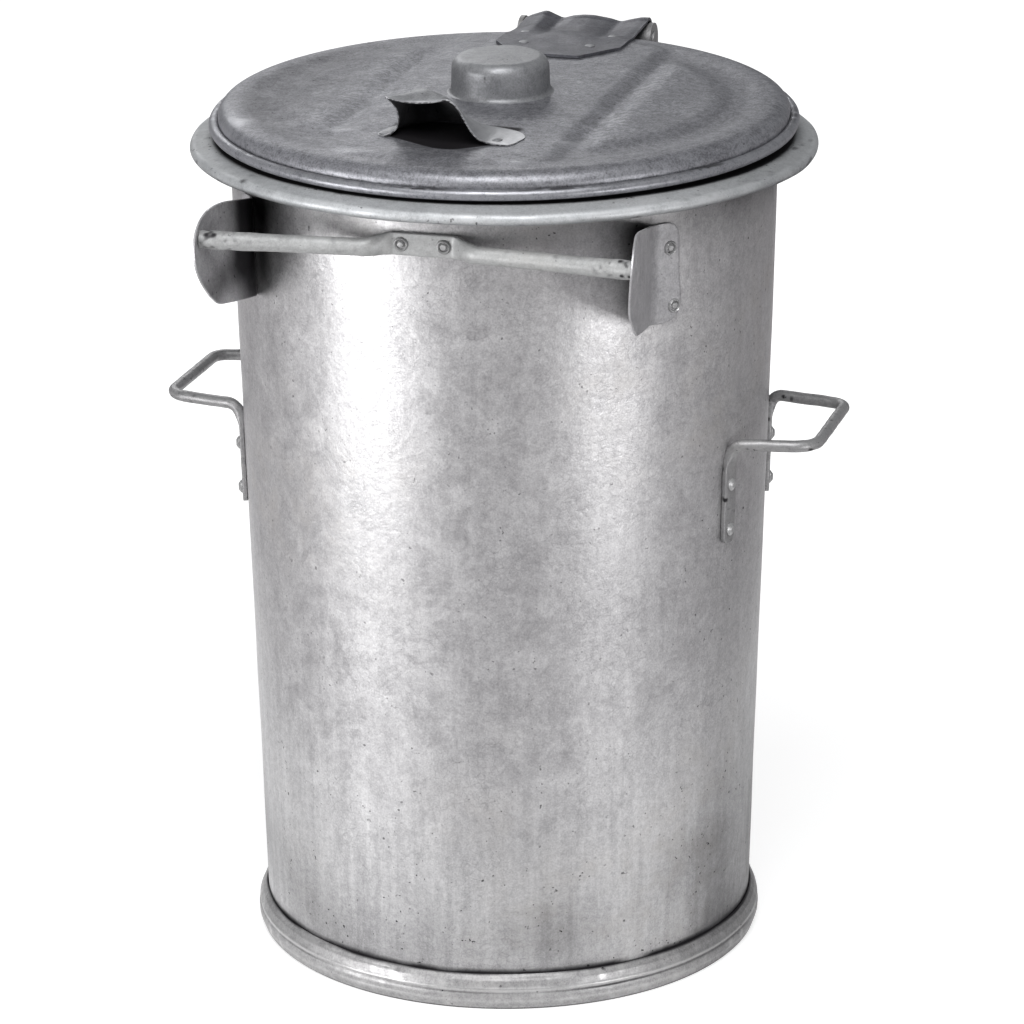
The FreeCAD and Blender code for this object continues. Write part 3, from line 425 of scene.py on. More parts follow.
class Board:
    """The node tree of one material."""

    def __init__(self, name: str) -> None:
        """Start an empty material."""
        self.material = bpy.data.materials.new(name)
        self.material.use_nodes = True
        self.tree = self.material.node_tree
        self.tree.nodes.clear()
        self.place = self.node("ShaderNodeTexCoord", {}, {}, "Object")

    def node(self, kind: str, settings: dict[str, object], inputs: dict[object, object],
             output: object = 0) -> Signal:
        """Add a node.

        Args:
            kind: the node's type.
            settings: its properties, set first.
            inputs: sockets by name or number, each with a value or a Signal to link.
            output: the name or number of the socket that is returned.

        Returns:
            The chosen output.
        """
        item = self.tree.nodes.new(kind)
        for key, value in settings.items():
            setattr(item, key, value)
        for key, value in inputs.items():
            if isinstance(value, Signal):
                self.tree.links.new(value.socket, item.inputs[key])
            else:
                item.inputs[key].default_value = value
        return Signal(self, item.outputs[output])

    def stretched(self, scale: tuple[float, float, float]) -> Signal:
        """Object coordinates times a scale for each axis."""
        return self.node("ShaderNodeVectorMath", {"operation": "MULTIPLY"},
                         {0: self.place, 1: scale})

    def along(self, direction: tuple[float, float, float]) -> Signal:
        """Object coordinate along a unit direction."""
        return self.node("ShaderNodeVectorMath", {"operation": "DOT_PRODUCT"},
                         {0: self.place, 1: direction}, "Value")

    def noise(self, scale: float, detail: float = 4, rough: float = 0.55,
              at: Signal | None = None, output: object = 0) -> Signal:
        """Noise of a scale per metre, from 0 to 1."""
        return self.node("ShaderNodeTexNoise", {},
                         {"Vector": at or self.place, "Scale": scale, "Detail": detail,
                          "Roughness": rough}, output)

    def cells(self, scale: float, feature: str, at: Signal, output: object) -> Signal:
        """Voronoi cells of a scale per metre."""
        return self.node("ShaderNodeTexVoronoi", {"feature": feature},
                         {"Vector": at, "Scale": scale}, output)

    def mark(self, name: str) -> Signal:
        """A mesh attribute painted by the shape functions."""
        return self.node("ShaderNodeAttribute", {"attribute_name": name}, {}, "Fac")

    def blend(self, factor: object, low: object, high: object) -> Signal:
        """A colour between two."""
        return self.node("ShaderNodeMix", {"data_type": "RGBA"}, {0: factor, 6: low, 7: high}, 2)

    def finish(self, shader: Signal) -> bpy.types.Material:
        """Send a shader to the material's output."""
        output = self.tree.nodes.new("ShaderNodeOutputMaterial")
        self.tree.links.new(shader.socket, output.inputs["Surface"])
        return self.material


# Near-black colour of soiling and of painted shade, which the dark mark blends towards.
GRIME_AND_SHADE = (0.016, 0.0145, 0.017, 1)


@dataclass(frozen=True)
class Zinc:
    """Hot-dip zinc: clouds, mottling, spangle cells, hair cracks, stains, wear and soiling, with
    painted light and painted shade from the pieces' marks.

    The colours run from dark to light with the tone, warm is the stains' colour, and the plain
    numbers say how strongly each kind of mark shows.
    """

    name: str
    dark: tuple[float, float, float]
    light: tuple[float, float, float]
    warm: tuple[float, float, float] = (0.33, 0.30, 0.28)
    metallic: float = 0.55
    roughness: float = 0.5
    contrast: float = 1.0
    grain: float = 1.0
    cracks: float = 0.25
    stains: float = 0.5
    streaks: float = 0.0
    scuffs: float = 0.0
    lumps: float = 0.3

    def build(self) -> bpy.types.Material:
        """Make the material.

        Returns:
            A material that reads Object coordinates and the marks "worn" (wear and painted light),
            "grime" (soiling and painted shade) and "scuff".
        """
        board = Board(self.name)
        drift = board.noise(13, 1, output=1)
        shift = board.node("ShaderNodeVectorMath", {"operation": "MULTIPLY_ADD"},
                           {0: drift, 1: (0.03, 0.03, 0.03), 2: board.place})
        cloud = board.noise(4.5, 2, 0.5)
        mottle = board.noise(34, 4, 0.62, shift)
        speck = board.noise(170, 3, 0.65, shift)
        sand = board.noise(640, 1, 0.6)
        spangle = board.cells(70, "F1", shift, "Color")
        edge = board.cells(130, "DISTANCE_TO_EDGE", shift, "Distance")
        crack = (1 - edge.step(0.0, 0.055)) * board.noise(14, 3).step(0.42, 0.62)
        wear_and_light = board.mark("wear_and_light")
        grime_and_shade = board.mark("grime_and_shade")
        tone = (0.5 + (cloud - 0.5) * (0.42 * self.contrast)
                + (mottle - 0.5) * (0.46 * self.contrast)
                + (speck - 0.5) * (0.62 * self.contrast * self.grain)
                + (sand - 0.5) * (0.6 * self.contrast * self.grain)
                + (spangle - 0.5) * (0.1 * self.contrast)
                - crack * self.cracks)
        if self.streaks:
            run = board.noise(1, 4, 0.6, board.stretched((120, 120, 9)))
            low = board.node("ShaderNodeSeparateXYZ", {}, {0: board.place}, "Z")
            foot = 1 - low.step(0.03, 0.34)
            tone = tone + (run - 0.5) * (foot * 0.7 + 0.4) * self.streaks
        if self.scuffs:
            rub = board.noise(190, 3, 0.7, shift).step(0.5, 0.66)
            tone = tone + rub * board.mark("scuff") * self.scuffs
        # The light mark lightens the tone: wear, and painted light where a piece uses it for a lit
        # side or a highlight.
        tone = tone + wear_and_light * 0.45
        colour = board.blend(tone.step(-0.1, 1.1), (*self.dark, 1), (*self.light, 1))
        stain = cloud.step(0.48, 0.7) * mottle.step(0.35, 0.75)
        colour = board.blend(stain * self.stains, colour, (*self.warm, 1))
        spot = board.noise(260, 1, 0.5).step(0.69, 0.75) * mottle.step(0.45, 0.6)
        # The dark mark: soiling, and painted shade where a piece uses it for shadows, creases, gaps
        # and sides away from the lamps; the specks are real.
        dirt_and_shade = grime_and_shade * (0.75 + mottle * 0.5) + spot * 0.55
        colour = board.blend(dirt_and_shade.step(0, 1), colour, GRIME_AND_SHADE)
        rough = self.roughness + (mottle - 0.5) * 0.22 + (spangle - 0.5) * 0.1 - wear_and_light * 0.14
        height = speck * 0.6 + mottle * (self.lumps * 2)
        bump = board.node("ShaderNodeBump", {}, {"Strength": 0.35, "Distance": 0.0011,
                                                 "Height": height})
        metal = board.node("ShaderNodeBsdfPrincipled", {}, {
            "Base Color": colour, "Roughness": rough + grime_and_shade * 0.2,
            "Metallic": self.metallic, "Normal": bump})
        return board.finish(metal)


# ------------------------------------------------------------------ pieces


@dataclass
class Body:
    """Wall, foot ring and rim collar of the bin.

    A dent is an azimuth in degrees, then its height, half width, half height and depth.
    """

    base: float = 213.5
    taper: float = 0.02646
    sheet: float = 1.5
    top: float = 711.0
    foot_sheet: float = 2.8
    seat: float = 0.3
    rim_fall: float = 10.2
    rim_sheet: float = 2.0
    roll: float = 5.0
    roll_place: tuple[float, float] = (261.0, 706.0)
    skirt_end: float = 687.0
    dents: tuple[tuple[float, ...], ...] = (
        (-29, 585, 30, 42, 1.3), (12, 560, 22, 55, 0.9), (38, 500, 28, 70, 1.2),
        (-2, 300, 45, 120, 0.9), (60, 250, 40, 60, 1.1), (150, 420, 60, 90, 1.4),
        (-120, 330, 50, 80, 1.3), (-75, 180, 45, 45, 0.9))

    def radius(self, height: float) -> float:
        """Outer radius of the wall at a height."""
        return self.base + self.taper * height

    def wall(self) -> bpy.types.Object:
        """Cone r = base + taper z with shallow dents and waves that die out at both ends.

        Returns:
            The closed wall.
        """
        low = self.foot_sheet
        outer = line((self.radius(low), low), (self.radius(self.top), self.top), 150)
        inner = line((self.radius(self.top) - self.sheet, self.top),
                     (self.radius(low) - self.sheet, low), 70)
        lip = [[self.radius(self.top), self.top]]
        foot = [[self.radius(low) - self.sheet, low]]
        grid = turned(np.vstack([outer, lip, inner, foot]), 240)
        angle, height = azimuth(grid), grid[..., 2]
        calm = smooth(45, 110, height) * smooth(690, 630, height)
        wave = 0.55 * swell(grid * [1, 1, 0.45], 260, 3) + 0.22 * swell(grid * [1, 1, 0.7], 95, 5)
        dents = 0 * wave
        for place, level, across, tall, depth in self.dents:
            aside = np.radians((angle - place + 180) % 360 - 180) * self.radius(level)
            dents = dents + depth * hill(aside, across) * hill(height - level, tall)
        grid = grid + outward(grid) * (calm * (wave - dents))[..., None]
        # Painted shade: darker under the rim's overhang, in a strip beside each ear and over the
        # right side, away from the key lamp.
        top_shade = smooth(640, 700, height) * 0.42 * (0.8 + 0.5 * swell(grid, 90, 7))
        turn = np.abs(angle)
        corner = hill(turn - 44.5, 4.5) * smooth(590, 625, height) * smooth(700, 680, height)
        top_shade = top_shade + 0.75 * corner + 0.24 * smooth(48, 76, angle) * smooth(150, 110, angle)
        # Painted shade: a dark band just above the foot ring, and darker towards the bottom, which
        # tones down the floor's reflection there.
        foot_shade = smooth(37, 31, height) * (0.75 + 0.5 * swell(grid, 60, 8))
        foot_shade = foot_shade + 0.4 * smooth(260, 40, height) * (0.9 + 0.25 * swell(grid, 120, 9))
        return Surface("bin_wall", grid, close_rows=True,
                       marks={"grime_and_shade": top_shade + foot_shade, "wear_and_light": 0 * height}).build()

    def foot(self) -> bpy.types.Object:
        """Turned C-section with a bulge, two pressed lines and a flat to stand on.

        Returns:
            The closed foot ring.
        """
        seat, seat_top = self.radius(23.8) + self.seat, self.radius(30.8) + self.seat
        section = chain([
            (seat, 23.8, 3), (seat_top, 30.8, 2), (seat_top + 0.7, 30.9, 5), (219.6, 26.0, 8),
            (221.9, 20.0, 8), (223.1, 13.0, 7), (222.3, 6.5, 7), (220.2, 1.4, 3), (218.5, 0, 6),
            (208, 0, 2), (208, 2.8, 4), (217.2, 2.8, 5), (220.3, 12.0, 5), (seat + 0.6, 23.8, 0)])
        grid = turned(section, 300)
        height, angle = grid[..., 2], azimuth(grid)
        reach = np.linalg.norm(grid[..., :2], axis=-1)
        skin = smooth(217.0, 218.6, reach) * smooth(0.2, 4, height)
        press = 0.55 * hill(height - 19.0, 1.1) - 0.5 * hill(height - 16.4, 1.0)
        press = press + 0.4 * hill(height - 8.2, 0.9)
        press = skin * (press - 0.35 + 0.28 * swell(grid, 48, 11))
        grid = grid + outward(grid) * press[..., None]
        chips = patches(grid, 14, 12, 0.35)
        wear_and_light = 0.8 * hill(height - 18.6, 2.0) + 0.4 * hill(height - 8.0, 1.6) + chips
        # Painted shade: the shadow line under the ring's top edge, broken in one place, the shade
        # at its bottom edge, a dark line in the pressed groove and a darker right side, away from
        # the key lamp.
        dark = smooth(29.3, 30.6, height) * (0.9 + 0.5 * swell(grid, 80, 13))
        dark = dark * (1 - 0.9 * hill((angle + 34 + 180) % 360 - 180, 9)) + smooth(2.4, 0.6, height)
        dark = dark + 0.6 * hill(height - 16.0, 0.8) * (0.5 + swell(grid, 120, 14))
        dark = dark + 0.4 * smooth(40, 76, angle) * smooth(150, 110, angle)
        return Surface("foot_hoop", grid, close_rows=True,
                       marks={"grime_and_shade": dark, "wear_and_light": wear_and_light * smooth(0, 4, height)}).build()

    def rim(self) -> bpy.types.Object:
        """Skirt, bend, sloping flat and open rolled edge, with a slight wave in the flat.

        Returns:
            The closed rim collar.
        """
        over, inner = self.roll, self.roll - self.rim_sheet
        square = 90 - self.rim_fall
        rise = np.array([math.cos(math.radians(square)), math.sin(math.radians(square))])
        lap = self.radius(self.top) - self.sheet - self.seat
        roll = np.array(self.roll_place)
        bend = np.array([lap + inner, roll[1] + (roll[0] - lap - inner) * rise[0] / rise[1]])
        section = np.vstack([
            line((lap - 2.6, self.skirt_end), (lap - 2.0, bend[1]), 12),
            arc(bend, over, 180, square, 10),
            line(bend + over * rise, roll + over * rise, 16),
            arc(roll, over, square, -150, 34),
            arc(roll, inner, -150, square, 26),
            line(roll + inner * rise, bend + inner * rise, 14),
            arc(bend, inner, square, 180, 8),
            line((lap, bend[1]), (lap - 0.6, self.skirt_end), 12),
        ])
        grid = turned(section, 360)
        reach = np.linalg.norm(grid[..., :2], axis=-1)
        free = smooth(236, 262, reach)
        lift = 0.6 * swell(grid * [1, 1, 0], 330, 21) + 0.25 * swell(grid * [1, 1, 0], 60, 22)
        grid[..., 2] += free * lift - 0.1 * smooth(233, 240, reach)
        grid += outward(grid) * (free * 0.45 * (swell(grid * [1, 1, 0], 140, 23) - 0.9))[..., None]
        height = grid[..., 2]
        edge = smooth(259.5, 263.5, reach) * smooth(703, 707, height)
        wear_and_light = edge * (0.35 + 0.5 * swell(grid, 30, 24)) + 0.2 * smooth(708, 712, height)
        # Painted shade under the rolled edge.
        under = smooth(706, 700, height) * smooth(250, 256, reach)
        chips = patches(grid * [1, 1, 2], 17, 25, 0.75)
        # Painted shadow in the gap under the lid's curl, and painted shade on the flat towards the
        # sides.
        hidden = 0.95 * smooth(248, 243.5, reach) * smooth(706, 708, height)
        sides = smooth(22, 60, np.abs(azimuth(grid) - 12))
        hidden = hidden + 0.36 * sides * smooth(236, 250, reach)
        return Surface("rim_flange", grid, close_rows=True,
                       marks={"wear_and_light": wear_and_light, "grime_and_shade": 0.5 * under + chips * 0.5 + hidden}).build()


@dataclass
class LidForm:
    """The lid's pressed sheet, leaning forward a little about the middle of its curled edge."""

    height: float = 725.7
    tilt: float = 1.09
    edge: float = 245.2
    curl: float = 4.7
    sheet: float = 1.5
    rise: float = 17.3
    shoulder: float = 11.0

    def lean(self, grid: np.ndarray) -> np.ndarray:
        """Turn points about the X line through the middle of the curled edge."""
        c, s = math.cos(math.radians(self.tilt)), math.sin(math.radians(self.tilt))
        y, z = grid[..., 1], grid[..., 2] - self.height
        return np.stack([grid[..., 0], c * y - s * z, self.height + s * y + c * z], axis=-1)

    def relief(self, x: np.ndarray, y: np.ndarray) -> np.ndarray:
        """Height of the pressed top above the flat border.

        The crown 6 - 4 r / 200 falls to the border between r = 222 and 206. A valley lies between
        the straight middle band (|x| < 92) and the two D-shaped panels (|x| > 114, r < 184).

        Args:
            x: across, in mm.
            y: front to back, in mm.

        Returns:
            Heights in mm.
        """
        r = np.hypot(x, y)
        crown = (6.0 - 0.02 * np.minimum(r, 200)) * smooth(223, 204, r)
        side = np.abs(x)
        band = smooth(104, 84, side)
        panel = smooth(100, 124, side) * smooth(196, 172, r)
        valley = (1 - np.clip(band + panel, 0, 1)) * smooth(222, 204, r)
        dish = 1.3 * hill(side - 158, 24) * hill(y, 80)
        ridge = 0.7 * (hill(y - 112, 3.0) * smooth(90, 70, side) * smooth(20, 40, x)
                       + hill(y - 168, 2.6) * smooth(70, 84, side) * band)
        knock = 1.6 * hill(side - 99, 9) * hill(y + 138, 8) + 1.5 * hill(side - 72, 13) * hill(
            y + 205, 8)
        return crown - 3.1 * valley - dish * panel + ridge * smooth(200, 185, r) + knock

    def dent(self, x: np.ndarray, y: np.ndarray) -> np.ndarray:
        """Finger hollow under the grip's opening, 5.5 mm deep, level from front to back."""
        return 5.5 * hill(x + 4, 29) * smooth(-184, -164, y) * smooth(-112, -140, y)

    def level(self, x: np.ndarray, y: np.ndarray) -> np.ndarray:
        """Height of the top at (x, y), before the lean and without the finger hollow."""
        return self.height + self.rise + self.relief(x, y)

    def top(self, x: np.ndarray, y: np.ndarray) -> np.ndarray:
        """Height of the top at (x, y), before the lean."""
        return self.level(x, y) - self.dent(x, y)

    def sites(self, places: tuple[tuple[float, float], ...],
              lift: float) -> list[tuple[np.ndarray, np.ndarray]]:
        """Points a lift above the top at (x, y) places, each with an upward normal."""
        spots = np.array([[x, y, 0.0] for x, y in places])
        spots[:, 2] = self.level(spots[:, 0], spots[:, 1]) + lift
        return [(spot, np.array([0.0, 0.0, 1.0])) for spot in self.lean(spots)]

    def shell(self) -> bpy.types.Object:
        """Pressed top, shoulder, short wall, curl round the wire and the underside, as one section.

        Returns:
            The closed lid sheet.
        """
        wall = self.edge - self.curl + self.sheet
        flat = self.height + self.rise
        inner = self.curl - self.sheet
        crown = line((1.0, 0), (224, 0), 110)
        slope = arc((0, 0), 1.0, 90, 0, 14) * [1.35, 1.0]
        slope = slope * self.shoulder + [wall - 1.35 * self.shoulder, flat - self.shoulder]
        section = np.vstack([
            crown,
            slope,
            line((wall, flat - self.shoulder), (self.edge - inner, self.height), 5),
            arc((self.edge, self.height), inner, 180, 486, 20),
            arc((self.edge, self.height), self.curl, 486, 180, 28),
            line((self.edge - self.curl, self.height),
                 (wall - self.sheet, flat - self.shoulder), 5),
            (slope - [self.sheet, self.sheet])[::-1],
            line((wall - self.shoulder - 6, 0), (1.0, 0), 60),
        ])
        grid = turned(section, 360)
        x, y, z = grid[..., 0], grid[..., 1], grid[..., 2]
        reach = np.hypot(x, y)
        rows = len(crown)
        under = len(section) - 60
        z[:rows] = self.top(x, y)[:rows]
        z[under:] = self.top(x, y)[under:] - self.sheet
        press = 0.35 * swell(grid * [1, 1, 0], 110, 31) + 0.16 * swell(grid * [1, 1, 0], 42, 32)
        z += press * smooth(236, 215, reach) * smooth(46, 70, reach)
        wave = 0.25 * swell(grid * [1, 1, 0], 90, 33) - 0.25
        grid += outward(grid) * (wave * smooth(238, 241, reach))[..., None]
        crease = hill(z - (self.height + 4.4), 0.8) * smooth(239, 240.5, reach)
        nubs = patches(grid, 9, 34, 0.25) * crease
        grid += outward(grid) * (0.9 * nubs)[..., None]
        side = np.abs(x)
        slope = hill(side - 119, 13) * smooth(186, 168, reach) * smooth(20, 60, np.abs(y) + 30)
        chord = slope * (0.45 + 0.65 * patches(grid, 55, 35, -0.4))
        smear = patches(grid * [0.6, 1, 1], 60, 36, 0.3) * smooth(205, 150, reach)
        rub = math.radians(-57)
        corner = hill(x - 238 * math.sin(rub), 16) * hill(y + 238 * math.cos(rub), 12)
        border = smooth(228, 240, reach) * (0.8 + 0.4 * swell(grid, 50, 38))
        rolled = smooth(242, 247, reach) * smooth(722, 727, z)
        wear_and_light = 0.4 * border + 0.4 * rolled + 1.5 * corner + nubs
        tips = hill(side - 100, 13) * hill(y + 136, 9) + hill(side - 72, 13) * hill(y + 203, 8)
        # Painted shade: a dark line in the crease over the curl, the right and left sides of the
        # top darker than the lit middle, the black finger hollow under the grip's mouth, and the
        # shadow under the curl.
        dark = 0.6 * crease * (0.6 + 0.6 * swell(grid, 70, 37)) * (1 - np.clip(3 * nubs, 0, 1))
        dark = dark + 0.13 * smooth(20, 150, x) * smooth(236, 215, reach)
        mouth = smooth(0, 5, y + 166 - 0.003 * x * x) * smooth(57, 47, np.abs(x + 5))
        dark = dark + 1.3 * mouth * smooth(-104, -112, y) + smooth(723, 721.5, z)
        dark = dark + 0.36 * smooth(-50, -200, x) * smooth(236, 215, reach)
        return Surface("lid_pressing", self.lean(grid), caps=(True, True),
                       marks={"wear_and_light": wear_and_light + 0.6 * tips, "grime_and_shade": dark,
                              "scuff": chord + smear * 0.8}).build()

    def knob(self) -> bpy.types.Object:
        """Turned cup with a round edge, a flared root and a thin collar on the crown.

        Returns:
            The closed knob.
        """
        seat = self.height + self.rise + 6 - 0.02 * 41 - 0.4
        top = seat + 32.2
        section = np.vstack([
            line((0.5, top), (30, top - 0.9), 12),
            arc((32.2, top - 10.4), 9.5, 88, 2, 14),
            line((41.7, top - 10.0), (42.1, seat + 4.6), 12),
            arc((46.6, seat + 4.6), 4.5, 180, 262, 12),
            line((46.0, seat + 0.15), (50.2, seat - 0.3), 4),
            line((50.4, seat - 0.6), (50.4, seat - 1.6), 2),
            line((50.0, seat - 1.6), (45.0, seat - 1.0), 3),
            arc((45.0, seat + 5.5), 5.5, 270, 180, 7),
            line((39.3, seat + 5.5), (39.0, top - 11.2), 8),
            arc((30, top - 11.4), 9.0, 0, 88, 10),
            line((30, top - 2.4), (0.5, top - 1.5), 8),
        ])
        grid = turned(section, 150)
        z = grid[..., 2].copy()
        reach = np.hypot(grid[..., 0], grid[..., 1])
        soft = 0.45 * swell(grid, 42, 41) - 0.2
        grid += outward(grid) * (soft * smooth(seat + 2, seat + 8, z))[..., None]
        grid[..., 2] += 0.35 * swell(grid * [1, 1, 0], 50, 42) * smooth(top - 6, top, z)
        wear_and_light = hill(reach - 37.6, 3.0) * smooth(top - 9, top - 3, z) * 0.5
        # Painted highlight: the flared root lighter all round.
        wear_and_light = wear_and_light + 0.55 * smooth(42.5, 46, reach) * (0.7 + 0.6 * swell(grid, 25, 43))
        angle = azimuth(grid)
        root = hill(reach - 50.4, 0.8) * (0.25 + 0.9 * hill(angle - 40, 24))
        seam = hill((angle + 2) * 0.7 + 1.2 * swell(grid, 9, 45), 0.7)
        seam = seam * smooth(seat + 16, seat + 19, z)
        side = smooth(top - 4, top - 12, z) * patches(grid * [1, 1, 0.3], 16, 44) * 0.15
        side = side + 0.8 * seam * smooth(top - 5, top - 9, z)
        grid = grid + [-2.6, 0, 0]
        return Surface("lid_cup", self.lean(grid), caps=(True, True),
                       marks={"wear_and_light": wear_and_light, "grime_and_shade": root + side}).build()


@dataclass
class Rod:
    """Tipping rod: flattened and riveted in the middle, round arms that end in the ears."""

    height: float = 675.5
    flat_half: float = 27.0
    end: tuple[float, float] = (178.5, -255.5)
    middle: float = -236.8

    def build(self) -> bpy.types.Object:
        """Superellipse sections along a line that leaves the wall after the flat.

        Returns:
            The closed rod.
        """
        x = np.linspace(-self.end[0] - 3, self.end[0] + 3, 260)
        side = np.abs(x)
        away = smooth(self.flat_half - 3, self.flat_half + 22, side)
        arm = (side - self.flat_half) / (self.end[0] - self.flat_half)
        arm = np.clip(arm, 0, 1.1)
        y = self.middle + 2.4 - away * 9.0 + arm * (self.end[1] - self.middle + 7.0)
        z = self.height - away * 2.2 - arm * 0.6
        path = np.stack([x, y, z], axis=1)
        near = smooth(self.end[0] - 60, self.end[0] - 2, side)
        thick = 2.5 + away * 4.6 + near * 0.6
        tall = 9.4 - smooth(self.flat_half - 2, self.flat_half + 30, side) * 2.2 + near * 0.6
        power = 7 - 5 * smooth(self.flat_half - 6, self.flat_half + 10, side)
        grid = swept(path, rounded(thick, tall, power, 40), np.array([0, 0, 1.0]))
        lump = swell(grid, 15, 51) * (0.18 + 0.5 * near[:, None])
        grid = lumpy(grid, path, 0.07 * lump)
        pits = patches(grid, 11, 52, 0.35) * 0.5
        pits = pits + patches(grid, 6, 53, 0.1) * 1.3 * near[:, None] ** 2
        pits = pits * smooth(self.flat_half, self.flat_half + 30, side)[:, None]
        return Surface("tipping_bar", grid, caps=(True, True),
                       marks={"wear_and_light": 0.35 + 0 * pits, "grime_and_shade": pits * 0.8}).build()


@dataclass
class Handle:
    """Side handle on the right: a round bent rod whose ends are flattened on the wall."""

    reach: float = 286.6
    half: float = 62.0
    height: float = 475.6
    foot_half: float = 72.0
    leg_low: float = 389.0
    leg_high: float = 462.0
    body: Body = field(default_factory=Body)

    def foot_place(self, side: int, height: float, stand: float) -> np.ndarray:
        """Point over a leg's middle line at a height, stand mm off the wall."""
        angle = side * math.asin(self.foot_half / self.body.radius(self.height))
        r = self.body.radius(height) + stand
        return np.array([r * math.cos(angle), r * math.sin(angle), height])

    def build(self, sign: int, name: str) -> bpy.types.Object:
        """Sections that change from a 17 x 4.5 flat on each leg to a 10 mm round on the grip.

        Args:
            sign: 1 for the right handle, -1 for the left one.
            name: the piece's name.

        Returns:
            The closed handle.
        """
        front, rear = ([self.foot_place(side, self.leg_low, 2.55),
                        self.foot_place(side, self.leg_high, 2.6),
                        self.foot_place(side, self.height, 5.4),
                        np.array([self.reach, side * self.half, self.height])]
                       for side in (-1, 1))
        path, run = bent(np.array(front + rear[::-1]), [30, 11, 22, 15, 11, 30], 1.6)
        low = np.minimum(run, run[-1] - run)
        flat = smooth(82, 66, low)
        angle = math.asin(self.foot_half / self.body.radius(self.height))
        away = np.sign(path[:, 1])[:, None] * [0, math.sin(angle), 0] + [math.cos(angle), 0, 0]
        up = smooth(70, 100, low)[:, None]
        face = away * (1 - up) + np.array([0, 0, 1.0]) * up
        wide = 5.0 + flat * 3.5
        thin = 5.0 - flat * 2.75
        tip = smooth(0, 5, low) ** 0.5
        grid = swept(path, rounded(wide * (0.55 + 0.45 * tip), thin, 2 + 3.5 * flat, 28), face)
        grid = lumpy(grid, path, 0.035 * swell(grid, 16, 61 + sign))
        wear_and_light = 0.15 + 0.3 * smooth(0.5, 1, (grid[..., 0] - 262) / 24)
        pits = patches(grid, 9, 63 + sign, 0.5)
        grid = grid * [sign, 1, 1]
        return Surface(name, grid, caps=(True, True), marks={"wear_and_light": wear_and_light, "grime_and_shade": pits}).build()


